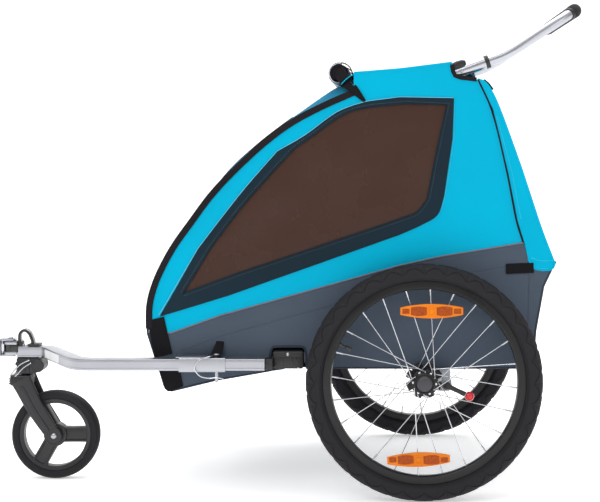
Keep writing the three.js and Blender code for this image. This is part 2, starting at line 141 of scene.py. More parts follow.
class Look:
    """One material: constants on the Principled shader, and textures in the object's own space."""

    def __init__(self, name, colour, roughness, metallic=0.0, **sockets):
        self.material = bpy.data.materials.new(name)
        self.material.use_nodes = True
        self.tree = self.material.node_tree
        self.shader = self.tree.nodes["Principled BSDF"]
        self.colour = colour
        self.shader.inputs["Base Color"].default_value = (*colour, 1)
        self.shader.inputs["Roughness"].default_value = roughness
        self.shader.inputs["Metallic"].default_value = metallic
        for socket, value in sockets.items():
            self.shader.inputs[socket.replace("_", " ")].default_value = value

    def add(self, kind, output=0, inputs=None, **settings):
        node = self.tree.nodes.new(kind)
        for key, value in settings.items():
            setattr(node, key, value)
        for key, value in (inputs or {}).items():
            if isinstance(value, bpy.types.NodeSocket):
                self.tree.links.new(value, node.inputs[key])
            else:
                node.inputs[key].default_value = value
        return node.outputs[output]

    def link(self, socket, value):
        self.tree.links.new(value, self.shader.inputs[socket])

    def place(self, stretch=(1, 1, 1)):
        here = self.add("ShaderNodeTexCoord", "Object")
        return self.add("ShaderNodeVectorMath", 0, {0: here, 1: stretch}, operation="MULTIPLY")

    def noise(self, scale, detail=2.0, stretch=(1, 1, 1)):
        return self.add("ShaderNodeTexNoise", 0,
                        {"Vector": self.place(stretch), "Scale": scale, "Detail": detail})

    def remap(self, value, low, high, start=0.3, end=0.7):
        return self.add("ShaderNodeMapRange", 0,
                        {0: value, 1: start, 2: end, 3: low, 4: high}, clamp=True)

    def maths(self, operation, a, b=0.0):
        return self.add("ShaderNodeMath", 0, {0: a, 1: b}, operation=operation)

    def tint(self, factor, dark, light):
        """The base colour varies between dark and light times its own value."""
        ends = [tuple(c * share for c in self.colour) + (1,) for share in (dark, light)]
        mixed = self.add("ShaderNodeMix", 2, {0: factor, 6: ends[0], 7: ends[1]}, data_type="RGBA")
        self.link("Base Color", mixed)

    def relief(self, height, distance, strength=1.0):
        bump = self.add("ShaderNodeBump", 0, {"Height": height, "Distance": distance / 1000,
                                              "Strength": strength})
        self.link("Normal", bump)

    def threads(self, pitch):
        """Crossed threads on whichever plane the surface lies nearest to, from -1 to 1."""
        scaled = self.place((2000 * math.pi / pitch,) * 3)
        waves = self.add("ShaderNodeVectorMath", 0, {0: scaled}, operation="SINE")
        split = self.tree.nodes.new("ShaderNodeSeparateXYZ")
        self.tree.links.new(waves, split.inputs[0])
        x, y, z = split.outputs
        products = [self.maths("MULTIPLY", a, b) for a, b in ((y, z), (x, z), (x, y))]
        joined = self.add("ShaderNodeCombineXYZ", 0, dict(enumerate(products)))
        facing = self.add("ShaderNodeNewGeometry", "Normal")
        facing = self.add("ShaderNodeVectorMath", 0, {0: facing}, operation="ABSOLUTE")
        return self.add("ShaderNodeVectorMath", "Value", {0: joined, 1: facing}, operation="DOT_PRODUCT")


def cloth(name, colour, pitch=1.3, depth=0.12, roughness=0.82, sheen=0.2, spread=0.1):
    look = Look(name, colour, roughness, Sheen_Weight=sheen, Sheen_Roughness=0.45,
                Specular_IOR_Level=0.08)
    threads = look.threads(pitch)
    slubs = look.noise(220, 2, (1, 1, 0.25))
    clouds = look.noise(5.5, 4)
    height = look.maths("ADD", threads, look.maths("MULTIPLY", slubs, 1.2))
    look.relief(height, depth, 0.8)
    shade = look.maths("ADD", look.maths("MULTIPLY", threads, 0.16), clouds)
    look.tint(look.remap(shade, 0, 1, 0.25, 0.75), 1 - spread, 1 + spread)
    look.link("Roughness", look.remap(clouds, roughness - 0.06, roughness + 0.06))
    return look


def plastic(name, colour, roughness, grain=0.05, spread=0.15, **sockets):
    look = Look(name, colour, roughness, **sockets)
    texture = look.noise(900, 3)
    wear = look.noise(14, 5)
    look.relief(texture, grain, 0.6)
    look.tint(look.remap(wear, 0, 1, 0.35, 0.75), 1 - spread, 1 + spread)
    look.link("Roughness", look.remap(wear, roughness - 0.07, roughness + 0.09))
    return look


def metal(name, colour, roughness, grain=(1, 1, 1), depth=0.01, **sockets):
    look = Look(name, colour, roughness, 1.0, **sockets)
    brushed = look.noise(520, 4, grain)
    smudge = look.noise(9, 4)
    look.relief(brushed, depth, 0.5)
    look.tint(look.remap(smudge, 0, 1), 0.93, 1.04)
    streaks = look.remap(brushed, -0.03, 0.03)
    look.link("Roughness", look.maths("ADD", streaks, look.remap(smudge, roughness - 0.02, roughness + 0.04)))
    return look


def see_through(look, alpha):
    look.shader.inputs["Alpha"].default_value = alpha
    return look


def reflector_look():
    look = Look("reflector_prisms", srgb(150, 62, 0), 0.3, Specular_IOR_Level=0.25)
    cells = look.add("ShaderNodeTexVoronoi", "Distance", {"Vector": look.place(), "Scale": 300.0})
    look.relief(cells, 0.8, 0.7)
    look.tint(look.remap(cells, 0, 1, 0.05, 0.6), 0.62, 1.25)
    return look


LOOKS = {key: look.material for key, look in {
    "blue": cloth("blue_polyester", srgb(0, 168, 203), sheen=0.0, spread=0.05),
    # Painted shade: the front cover is the same blue cloth as the sides, given a darker blue for its forward
    # and downward facing slope.
    "shaded_blue": cloth("front_polyester_painted_shade", srgb(10, 116, 150), sheen=0.03, spread=0.08),
    "grey": cloth("grey_polyester", srgb(74, 84, 97), sheen=0.06, spread=0.08),
    "black": cloth("black_polyester", srgb(33, 31, 35), pitch=1.6, depth=0.2, sheen=0.03, spread=0.2),
    "border": cloth("window_border", srgb(27, 43, 53), pitch=1.6, depth=0.15, sheen=0.02, spread=0.16),
    "seat": cloth("seat_mesh_fabric", srgb(36, 38, 42), pitch=2.6, depth=0.4, sheen=0.1, spread=0.25),
    "webbing": cloth("black_webbing", srgb(23, 22, 25), pitch=2.2, depth=0.3, roughness=0.78, sheen=0.05,
                     spread=0.22),
    "piping": cloth("grey_piping", srgb(118, 114, 126), pitch=1.5, depth=0.2, sheen=0.05),
    "binding": cloth("slate_binding", srgb(54, 61, 72), pitch=1.5, depth=0.15, sheen=0.03),
    # Pale blue for thread, and for the line along each window's blue edge, which is a painted highlight.
    "pale_thread_and_highlight": plastic("pale_blue_thread_and_highlight", srgb(120, 205, 232), 0.7),
    "thread_blue": plastic("blue_thread", srgb(4, 148, 190), 0.7),
    "thread_grey": plastic("grey_thread", srgb(96, 104, 116), 0.7),
    "film": see_through(plastic("tinted_film", srgb(66, 44, 36), 0.26, grain=0.002, spread=0.03,
                                Specular_IOR_Level=0.2),
                        0.95),
    # The rolled cover's clear film is real; its near-white colour is painted highlight.
    "clear": see_through(plastic("clear_film_painted_highlight", srgb(196, 198, 212), 0.24, grain=0.02, Coat_Weight=0.3), 0.85),
    "net": see_through(cloth("insect_net", srgb(16, 17, 19), pitch=2.0, depth=0.3), 0.82),
    "aluminium": metal("satin_aluminium", srgb(176, 177, 183), 0.33, (0.05, 1, 1), 0.004),
    "tube": metal("polished_tube", srgb(184, 185, 192), 0.24, (0.1, 0.5, 1), 0.003),
    "steel": metal("zinc_steel", srgb(176, 178, 184), 0.3),
    "wire": metal("spoke_wire", srgb(200, 202, 207), 0.24),
    "bracket": plastic("zinc_casting", srgb(148, 151, 156), 0.42, grain=0.1),
    "plastic": plastic("black_nylon", srgb(28, 28, 31), 0.42, grain=0.08),
    "cap": plastic("hub_cap_nylon", srgb(60, 59, 64), 0.5, grain=0.08),
    "alloy": plastic("black_alloy", srgb(20, 20, 22), 0.34, grain=0.02, Metallic=0.3),
    "rubber": plastic("tyre_rubber", srgb(30, 29, 33), 0.7, grain=0.12, Specular_IOR_Level=0.25),
    "gloss": plastic("glossy_rubber", srgb(14, 14, 16), 0.2, grain=0.02, Coat_Weight=0.3),
    "foam": plastic("grip_foam", srgb(30, 29, 33), 0.88, grain=0.6),
    "red": plastic("red_knob", srgb(205, 22, 30), 0.2, grain=0.01, Coat_Weight=0.5, Coat_Roughness=0.04),
    "label": plastic("blank_label", srgb(228, 229, 230), 0.4, grain=0.01),
    "amber": plastic("amber_frame", srgb(226, 122, 0), 0.32, grain=0.01, Specular_IOR_Level=0.25),
    "reflector": reflector_look(),
}.items()}


# ---------------------------------------------------------------- lines in the plane and in space
def spline(points, steps=8):
    """A smooth line through the points, with steps pieces between neighbours."""
    line = [Vector(p) for p in points]
    ends = [line[0] * 2 - line[1], *line, line[-1] * 2 - line[-2]]
    made = []
    for a, b, c, d in zip(ends, ends[1:], ends[2:], ends[3:]):
        t0 = 0.0
        t1 = t0 + max((b - a).length, 1e-6) ** 0.5
        t2 = t1 + max((c - b).length, 1e-6) ** 0.5
        t3 = t2 + max((d - c).length, 1e-6) ** 0.5
        for i in range(steps):
            t = t1 + (t2 - t1) * i / steps
            ab = a.lerp(b, (t - t0) / (t1 - t0))
            bc = b.lerp(c, (t - t1) / (t2 - t1))
            cd = c.lerp(d, (t - t2) / (t3 - t2))
            abc = ab.lerp(bc, (t - t0) / (t2 - t0))
            bcd = bc.lerp(cd, (t - t1) / (t3 - t1))
            made.append(abc.lerp(bcd, (t - t1) / (t2 - t1)))
    return made + [line[-1]]


def spaced(points, step, closed=False):
    """The same line with points about step apart; corners are kept."""
    line = [Vector(p) for p in points]
    if closed:
        line.append(line[0])
    made = []
    for a, b in zip(line, line[1:]):
        count = max(1, round((b - a).length / step))
        made += [a.lerp(b, i / count) for i in range(count)]
    return made if closed else made + [line[-1]]


def circle(radius, sides):
    return [(radius * math.cos(2 * math.pi * i / sides), radius * math.sin(2 * math.pi * i / sides))
            for i in range(sides)]


def rounded(half_width, half_height, radius, steps=4):
    """A rectangle with rounded corners, as points round its edge."""
    made = []
    for turn, (sx, sy) in enumerate(((1, 1), (-1, 1), (-1, -1), (1, -1))):
        for i in range(steps + 1):
            a = math.pi / 2 * (turn + i / steps)
            made.append((sx * (half_width - radius) + radius * math.cos(a),
                         sy * (half_height - radius) + radius * math.sin(a)))
    return made


def inside(x, z, outline):
    found = False
    for (x0, z0), (x1, z1) in zip(outline, outline[1:] + outline[:1]):
        if (z0 > z) != (z1 > z) and x < (x1 - x0) * (z - z0) / (z1 - z0) + x0:
            found = not found
    return found


def edge_distance(x, z, outline):
    best = 1e9
    for (x0, z0), (x1, z1) in zip(outline, outline[1:] + outline[:1]):
        dx, dz = x1 - x0, z1 - z0
        t = max(0, min(1, ((x - x0) * dx + (z - z0) * dz) / max(dx * dx + dz * dz, 1e-9)))
        best = min(best, math.hypot(x - x0 - t * dx, z - z0 - t * dz))
    return best


def ease(t):
    t = max(0.0, min(1.0, t))
    return t * t * (3 - 2 * t)


# ---------------------------------------------------------------- pieces
class Piece:
    """One visible piece, gathered from several shapes, that rides on one body."""

    def __init__(self, name, look, body="root", slot=None, place=None):
        self.name, self.look, self.body, self.slot = name, look, body, slot
        self.place = place or Matrix.Identity(4)
        self.bm = bmesh.new()

    def raw(self, points, faces):
        verts = [self.bm.verts.new(self.place @ Vector(p)) for p in points]
        for face in faces:
            self.bm.faces.new([verts[i] for i in face])
        return verts

    def sweep(self, line, profile, up=None, cap=True, scale=None, closed=False):
        """The profile, given as (sideways, up) points, carried along the line."""
        line = [Vector(p) for p in line]
        count, size = len(line), len(profile)
        points, carried = [], None
        for i, here in enumerate(line):
            before = line[i - 1] if i or closed else here
            after = line[(i + 1) % count] if i < count - 1 or closed else here
            ahead = (after - before).normalized()
            if up is None:
                if carried is None:
                    carried = Vector((0, 0, 1)) if abs(ahead.z) < 0.9 else Vector((1, 0, 0))
                carried = (carried - ahead * carried.dot(ahead)).normalized()
                upward = carried
            else:
                want = Vector(up[i] if isinstance(up, list) else up)
                upward = (want - ahead * want.dot(ahead)).normalized()
            aside = ahead.cross(upward)
            share = scale[i] if scale else 1.0
            points += [here + (aside * a + upward * b) * share for a, b in profile]
        faces = []
        for i in range(count if closed else count - 1):
            j = (i + 1) % count
            for k in range(size):
                m = (k + 1) % size
                faces.append((i * size + k, i * size + m, j * size + m, j * size + k))
        if cap and not closed:
            faces.append(tuple(reversed(range(size))))
            faces.append(tuple(range((count - 1) * size, count * size)))
        return self.raw(points, faces)

    def tube(self, line, radius, sides=20, closed=False):
        """A round bar with softened ends."""
        if closed:
            return self.sweep(line, circle(radius, sides), closed=True)
        line = [Vector(p) for p in line]
        soft = min(radius * 0.3, 1.5)
        lead = (line[1] - line[0]).normalized() * soft
        tail = (line[-2] - line[-1]).normalized() * soft
        full = [line[0], line[0] + lead * 0.35, line[0] + lead, *line[1:-1], line[-1] + tail,
                line[-1] + tail * 0.35, line[-1]]
        low = 1 - soft / radius
        scale = [low, (1 + 2 * low) / 3 + 0.1, 1, *[1] * (len(line) - 2), 1, (1 + 2 * low) / 3 + 0.1, low]
        return self.sweep(full, circle(radius, sides), scale=scale)

    def pipe(self, line, outer, inner, up=None):
        """A hollow bar: outer and inner are profiles with the same number of points."""
        size = len(outer)
        first = self.sweep(line, outer, up, cap=False)
        second = self.sweep(line, inner, up, cap=False)
        for face in {f for v in second for f in v.link_faces}:
            face.normal_flip()
        for base in (0, len(line) * size - size):
            for k in range(size):
                m = (k + 1) % size
                ring = [first[base + k], first[base + m], second[base + m], second[base + k]]
                self.bm.faces.new(ring if base else ring[::-1])

    def ribbon(self, line, width, thick, up):
        half = thick / 2
        return self.sweep(line, rounded(width / 2, half, half * 0.9, 2), up)

    def block(self, xs, ys, zs, bevel=1.5, steps=2):
        corners = [(x, y, z) for x in xs for y in ys for z in zs]
        faces = [(0, 1, 3, 2), (4, 6, 7, 5), (0, 4, 5, 1), (2, 3, 7, 6), (0, 2, 6, 4), (1, 5, 7, 3)]
        verts = self.raw(corners, faces)
        edges = list({e for v in verts for e in v.link_edges})
        bmesh.ops.bevel(self.bm, geom=edges, offset=bevel, segments=steps, profile=0.6, affect="EDGES")

    def lathe(self, profile, centre=(0, 0, 0), sides=64, axis="Y"):
        """A turned shape from [radius, along] points; a zero radius closes it."""
        turn = {"Y": Matrix.Identity(3), "Z": Matrix.Rotation(math.pi / 2, 3, "X"),
                "X": Matrix.Rotation(-math.pi / 2, 3, "Z")}[axis]
        rings, points = [], []
        for r, along in profile:
            start = len(points)
            if r < 1e-6:
                points.append((0, along, 0))
                rings.append([start] * sides)
            else:
                points += [(r * c, along, s * r) for c, s in circle(1, sides)]
                rings.append(list(range(start, start + sides)))
        faces = []
        for low, high in zip(rings, rings[1:]):
            for k in range(sides):
                m = (k + 1) % sides
                face = [low[k], high[k], high[m], low[m]]
                face = [v for i, v in enumerate(face) if v not in face[:i]]
                if len(face) > 2:
                    faces.append(face)
        return self.raw([turn @ Vector(p) + Vector(centre) for p in points], faces)

    def rod(self, start, end, profile, sides=24):
        """A turned shape along the line from start to end; profile holds [radius, share of the way]."""
        start, end = Vector(start), Vector(end)
        line = [start.lerp(end, share) for _, share in profile]
        ahead = (end - start).normalized()
        base = Vector((0, 0, 1)) if abs(ahead.z) < 0.9 else Vector((1, 0, 0))
        upward = (base - ahead * base.dot(ahead)).normalized()
        aside = ahead.cross(upward)
        points = [p + (aside * a + upward * b) * r for (r, _), p in zip(profile, line)
                  for a, b in circle(1, sides)]
        faces = [tuple(reversed(range(sides))), tuple(range((len(line) - 1) * sides, len(line) * sides))]
        for i in range(len(line) - 1):
            for k in range(sides):
                m = (k + 1) % sides
                faces.append((i * sides + k, i * sides + m, (i + 1) * sides + m, (i + 1) * sides + k))
        return self.raw(points, faces)

    def plate(self, outline, low, high, bevel=0.8, plane="XZ"):
        """An outline with thickness from low to high on the third axis, and softened rims."""
        def put(a, b, c):
            return {"XZ": (a, c, b), "XY": (a, b, c), "YZ": (c, a, b)}[plane]
        points = [put(a, b, low) for a, b in outline] + [put(a, b, high) for a, b in outline]
        n = len(outline)
        faces = [tuple(range(n)), tuple(reversed(range(n, 2 * n)))]
        faces += [(k, k + n, (k + 1) % n + n, (k + 1) % n) for k in range(n)]
        verts = self.raw(points, faces)
        rims = [e for e in {e for v in verts for e in v.link_edges}
                if abs(e.verts[0].co[1 if plane == "XZ" else 2 if plane == "XY" else 0]
                       - e.verts[1].co[1 if plane == "XZ" else 2 if plane == "XY" else 0]) < 1e-6]
        if bevel:
            bmesh.ops.bevel(self.bm, geom=rims, offset=bevel, segments=2, profile=0.6, affect="EDGES")

    def grid(self, rows, thick, skip=None):
        """A sheet through rows of points, with its thickness laid below it."""
        count, width = len(rows), len(rows[0])
        rows = [[Vector(p) for p in row] for row in rows]
        upper, lower = [], []
        for i in range(count):
            for j in range(width):
                along = rows[min(i + 1, count - 1)][j] - rows[max(i - 1, 0)][j]
                cross = rows[i][min(j + 1, width - 1)] - rows[i][max(j - 1, 0)]
                upper.append(rows[i][j])
                lower.append(rows[i][j] - along.cross(cross).normalized() * thick)
        self.layers(upper, lower, [
            (i * width + j, (i + 1) * width + j, (i + 1) * width + j + 1, i * width + j + 1)
            for i in range(count - 1) for j in range(width - 1) if not (skip and skip(i, j))])

    def layers(self, upper, lower, cells):
        """Two copies of the same faces, joined round their open edges."""
        n = len(upper)
        used = {}
        for cell in cells:
            for a, b in zip(cell, cell[1:] + cell[:1]):
                used[(a, b)] = True
        faces = list(cells) + [tuple(n + i for i in reversed(cell)) for cell in cells]
        faces += [(b, a, n + a, n + b) for a, b in used if (b, a) not in used]
        self.raw([*upper, *lower], faces)

    def panel(self, outline, depth, thick, side, holes=(), step=13):
        """A flat cut of cloth in the XZ plane; depth(x, z) is how far out from the middle it hangs."""
        loops = [spaced(loop, step, closed=True) for loop in (outline, *holes)]
        points = [p.copy() for loop in loops for p in loop]
        edges, start = [], 0
        for loop in loops:
            edges += [(start + i, start + (i + 1) % len(loop)) for i in range(len(loop))]
            start += len(loop)
        flat = [[(p.x, p.y) for p in loop] for loop in loops]
        xs, zs = [p[0] for p in flat[0]], [p[1] for p in flat[0]]
        row, z = 0, min(zs) + step / 2
        while z < max(zs):
            x = min(xs) + (step / 2 if row % 2 else step)
            while x < max(xs):
                if inside(x, z, flat[0]) and not any(inside(x, z, hole) for hole in flat[1:]):
                    if min(edge_distance(x, z, loop) for loop in flat) > step * 0.45:
                        points.append(Vector((x, z)))
                x += step
            z += step * 0.87
            row += 1
        made = delaunay_2d_cdt(points, edges, [], 0, 1e-5)
        where = [(p.x, p.y) for p in made[0]]
        cells = []
        for cell in made[2]:
            cx = sum(where[i][0] for i in cell) / len(cell)
            cz = sum(where[i][1] for i in cell) / len(cell)
            if inside(cx, cz, flat[0]) and not any(inside(cx, cz, hole) for hole in flat[1:]):
                cells.append(tuple(cell) if side > 0 else tuple(reversed(cell)))
        cells = [tuple(reversed(cell)) for cell in cells]
        upper = [(x, side * depth(x, z), z) for x, z in where]
        lower = [(x, side * (depth(x, z) - thick), z) for x, z in where]
        self.layers(upper, lower, cells)

    def stitches(self, line, up, pitch=5.2, length=3.4, radius=0.42):
        line = [Vector(p) for p in line]
        reached, start = 0.0, pitch / 2
        for a, b in zip(line, line[1:]):
            span = (b - a).length
            while start < reached + span and span > 0:
                ahead = (b - a).normalized()
                middle = a.lerp(b, (start - reached) / span)
                lift = Vector(up)
                aside = ahead.cross(lift).normalized()
                ends = [middle - ahead * length / 2, middle + ahead * length / 2]
                ring = [middle + aside * radius, middle + lift * radius, middle - aside * radius,
                        middle - lift * radius * 0.5]
                self.raw([*ends, *ring], [(0, 3, 2), (0, 4, 3), (0, 5, 4), (0, 2, 5),
                                          (1, 2, 3), (1, 3, 4), (1, 4, 5), (1, 5, 2)])
                start += pitch
            reached += span

    def done(self, *nodes, soft=False, crease=32, outward=True):
        """Turns the shapes into an object in the frame; soft pieces are given a mesh of their own."""
        bmesh.ops.transform(self.bm, matrix=Matrix.Diagonal((0.001, 0.001, 0.001, 1))
                            @ Matrix.Translation((AXLE_FROM_MIDDLE, 0, 0)), verts=self.bm.verts)
        if outward:
            bmesh.ops.recalc_face_normals(self.bm, faces=self.bm.faces)
        for face in self.bm.faces:
            face.smooth = True
        for edge in self.bm.edges:
            if len(edge.link_faces) == 2 and edge.calc_face_angle(0) > math.radians(crease):
                edge.smooth = False
        mesh = bpy.data.meshes.new(self.name)
        self.bm.to_mesh(mesh)
        self.bm.free()
        mesh.materials.append(LOOKS[self.look])
        made = bpy.data.objects.new(self.name, mesh)
        bpy.context.scene.collection.objects.link(made)
        if soft:
            flatten(made)
        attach(made, self.body)
        if nodes:
            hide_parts(*nodes)
        return made


def flatten(made):
    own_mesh(made)


# ---------------------------------------------------------------- outlines of the cabin's side
def plane_spline(points, steps):
    return [tuple(p) for p in spline(points, steps)]


FRONT_EDGE = plane_spline([(-150, 866), (-217, 836.5), (-283, 801.5), (-342, 758.5), (-411, 695), (-460, 642),
                           (-500, 588), (-543, 527), (-579, 455), (-592, 405), (-593, 356)], 4)
WAIST = [(-542, 346), (-437, 384), (-51, 491.5), (35, 510.5), (214, 540)]
REAR_SEAM = plane_spline([(214, 540), (200, 586), (180, 689), (146, 827), (118, 889)], 4)
ROOF_EDGE = [(-150, 904), (-50, 912), (61, 926)]
SIDE_OUTLINE = [*FRONT_EDGE[::-1], *ROOF_EDGE, (68, 897), *REAR_SEAM[::-1], *WAIST[-2::-1]]
WINDOW = [
    (-566, 383), (-417, 429), (-51, 559), *plane_spline([(-10, 577), (28, 600), (42, 640)], 4),
    (60, 764), (64, 848), (-51, 850),
    *plane_spline([(-120, 841), (-152, 832), (-187, 817), (-252, 769.5), (-313, 734)], 3),
    *plane_spline([(-318, 728), (-334, 710), (-381, 656), (-433, 590), (-482, 526)], 3),
]
GLAZING = [
    (-516, 431), (-394, 476), (-94, 576), *plane_spline([(-51, 591), (-14, 606), (8, 635)], 3),
    (24, 719), (50, 836), (-40, 838),
    *plane_spline([(-115, 831), (-154, 822), (-187, 806), (-236, 770), (-275, 743), (-292, 726)], 3),
    *plane_spline([(-318, 698), (-394, 611), (-456, 529)], 3),
]
TUB_BOTTOM = [(222, 271), (-297, 271), (-446, 245), (-541, 222), (-556, 234), (-577, 297)]
TUB_OUTLINE = [(-594, 350), *WAIST, (226, 500), (277, 487), (257, 446), (240, 351), (236, 300), *TUB_BOTTOM]
ANCHOR_NOTCH = [(-253, 271), (-253, 314), (-327, 314), (-327, 265.8)]
SHELL = [
    *FRONT_EDGE, *TUB_BOTTOM[::-1], (236, 300), (240, 351), (257, 446), (277, 487), (256, 567),
    (200, 734), (150, 862), (118, 889), (68, 910), *ROOF_EDGE[::-1],
]
FRONT_COVER_LINE = plane_spline(
    [(-602, 354), (-601, 399), (-548, 516), (-441, 681), (-372, 747), (-305, 799), (-205, 869), (-187, 879)],
    5)
REAR_COVER_LINE = plane_spline([(118, 892), (130, 888), (148, 866), (200, 734), (256, 567), (283, 497)], 6)
ROOF_LINE = plane_spline([(-178, 880), (-166, 892), (-150, 901.5), (-50, 909.5), (61, 923.5), (110, 899)], 6)
COVER_HALF_WIDTH = 302.5
NOSE_Y = -140  # the arm's front end, coupling and caster
YOKE_X = -926  # the coupling's upright pin
CASTER_X, CASTER_RADIUS = -823, 98.5


def outward(x, z):
    """How far the stretched side cloth stands from the middle."""
    billow = 8 * ease(edge_distance(x, z, SHELL) / 120)
    ripple = 0.9 * noise.noise(Vector((x / 70, z / 45, 1.5)))
    return 306.4 + billow + ripple


def on_side(line, side, lift=0.0, step=9):
    """Points of a line on the side cloth."""
    return [Vector((p.x, side * (outward(p.x, p.y) + lift), p.y)) for p in spaced(line, step)]


def shifted(line, distance):
    """The line moved sideways in its plane, to its left as it runs."""
    made = []
    for i, (x, z) in enumerate(line):
        (x0, z0), (x1, z1) = line[max(i - 1, 0)], line[min(i + 1, len(line) - 1)]
        length = math.hypot(x1 - x0, z1 - z0) or 1
        made.append((x - (z1 - z0) / length * distance, z + (x1 - x0) / length * distance))
    return made


def resampled(line, count):
    """The same line as count points an equal way apart."""
    fine = spaced(line, 1)
    return [tuple(fine[round(i * (len(fine) - 1) / (count - 1))]) for i in range(count)]


def hung(line, half, bulge, across=30):
    """Rows of points for a sheet that spans the cabin along a line in the XZ plane."""
    rows = []
    for i, (x, z) in enumerate(line):
        (x0, z0), (x1, z1) = line[max(i - 1, 0)], line[min(i + 1, len(line) - 1)]
        length = math.hypot(x1 - x0, z1 - z0)
        nx, nz = -(z1 - z0) / length, (x1 - x0) / length
        row = []
        for j in range(across + 1):
            v = 2 * j / across - 1
            y = v * (half(x, z) if callable(half) else half)
            lift = bulge(i / (len(line) - 1), v, x, z)
            row.append((x + nx * lift, y, z + nz * lift))
        rows.append(row)
    return rows


# ---------------------------------------------------------------- cabin sides
def cabin_side(name, side):
    normal = (0, side, 0)
    canopy = Piece(f"canopy_cloth_{name}", "blue", slot="blue_fabric")
    canopy.panel(SIDE_OUTLINE, outward, 1.5, side, [WINDOW])
    canopy = canopy.done(f"canopy_side_{name}", soft=True)

    film = Piece(f"window_film_{name}", "film", slot="tinted_film")
    film.panel(WINDOW, lambda x, z: outward(x, z) - 2.2 - 2.5 * ease(edge_distance(x, z, GLAZING) / 90),
               0.6, side, step=20)
    film = film.done(f"window_{name}", soft=True)

    border = Piece(f"window_binding_{name}", "border", slot="black_fabric")
    border.panel(shifted(WINDOW + WINDOW[:1], -2)[:-1], lambda x, z: outward(x, z) + 1.1, 3.0, side,
                 [GLAZING], step=9)
    border.tube(on_side([*GLAZING, GLAZING[0]], side, 0.8)[:-1], 1.2, 8, closed=True)
    border.done(soft=True)
    # The pale line along the window's blue edge is a painted highlight, drawn as a thin pale tube; the
    # stitches below it are thread.
    highlight_and_stitches = Piece(f"window_edge_highlight_{name}", "pale_thread_and_highlight", slot="blue_fabric")
    highlight_and_stitches.tube(on_side(shifted(WINDOW[WINDOW.index((64, 848)):] + WINDOW[:1], -2.6), side, 1.2), 0.55, 6)
    highlight_and_stitches.stitches(on_side([(66, 838), (65, 764), (50, 660), (38, 612)], side, 0.2, 6), normal, 3.6, 2.2)
    highlight_and_stitches.done(soft=True)

    edge = Piece(f"edge_binding_{name}", "black", slot="black_fabric")
    edge.ribbon(on_side(shifted(FRONT_EDGE, 5.2), side, 1.6), 11, 2.6, normal)
    edge.tube([Vector((x, side * 305, z)) for x, z in shifted(FRONT_EDGE, -0.5)], 3.4, 10)
    edge.tube(on_side(shifted(REAR_SEAM, 0.5), side, 0.6), 1.9, 8)
    edge.ribbon(on_side([(61, 922), (63, 908), (68, 898), (80, 894), (96, 892), (114, 890)], side, 1.0, 5), 9,
                2.4, normal)
    edge.done(soft=True)

    welt = Piece(f"waist_piping_{name}", "piping", slot="grey_fabric")
    welt.tube(on_side([(-592, 348), *WAIST], side, 0.8), 1.5, 10)
    welt.done(soft=True)

    hem = Piece(f"tub_binding_{name}", "binding", slot="grey_fabric")
    hems = [[(-593, 362), (-592, 344), *TUB_BOTTOM[::-1], (236, 300), (240, 351), (257, 446), (276, 486)]]
    if side < 0:
        front_part, rear_part = hems[0][:6], hems[0][7:]
        hems = [[*front_part, (-327, 265.8)], [(-253, 271), *rear_part]]
        rim = plane_spline([(-252, 272), (-252, 300), (-257, 315), (-270, 317), (-310, 317), (-324, 315),
                            (-329, 300), (-329, 268)], 4)
        hem.ribbon(on_side(rim, side, 1.0, 5), 5, 2.0, normal)
    for line in hems:
        hem.tube([Vector((p.x, side * 305, p.y)) for p in spaced(line, 12)], 2.6, 8)
    hem.done(soft=True)

    tub = Piece(f"tub_cloth_{name}", "grey", slot="grey_fabric")
    if side < 0:
        outline = [*TUB_OUTLINE[:-5], *ANCHOR_NOTCH, *TUB_OUTLINE[-4:]]
        hole = [(-502, 274), (-438, 274), (-438, 293), (-502, 293)]
        tub.panel(outline, outward, 1.8, side, [hole])
    else:
        tub.panel(TUB_OUTLINE, outward, 1.8, side)
    fold = [(x, z - 44) for x, z in ((-520, 354), *WAIST[1:4], (224, 541))]
    tub.tube(on_side(fold, side, -0.2), 1.5, 6)
    tub.tube(on_side([(227, 478), (225, 363), (220, 276)], side, -0.2), 1.5, 6)
    tub = tub.done(f"tub_side_{name}", soft=True)

    sewn = Piece(f"canopy_stitches_{name}", "thread_blue", slot="blue_fabric")
    for line in (shifted(FRONT_EDGE, 19), shifted(REAR_SEAM, 7), shifted(REAR_SEAM, 11),
                 shifted(WAIST, 7), shifted(WAIST, 11), shifted([*WINDOW, WINDOW[0]], -7),
                 [(-146, 896), (-50, 904), (52, 917)], [(-152, 889), (-121, 839)], [(-157, 886), (-126, 837)],
                 [(68, 854), (98, 861), (121, 870)]):
        sewn.stitches(on_side(line, side, 0.15, 12), normal)
    sewn.done(soft=True)

    rows = Piece(f"tub_stitches_{name}", "thread_grey", slot="grey_fabric")
    for line in (shifted(fold, 4), shifted(fold, -4), shifted(WAIST, -7), [(221, 474), (219, 363)],
                 [(232, 474), (231, 363)], [(-520, 238), (-446, 256), (-340, 274)],
                 shifted([*GLAZING, GLAZING[0]], -5)):
        rows.stitches(on_side(line, side, 2.4 if line[0][1] > 500 or line[0][0] < -500 and line[0][1] > 400
                              else 0.15, 12), normal)
    rows.done(soft=True)

    def lifted(x, z):
        return outward(x, z) + 2.6

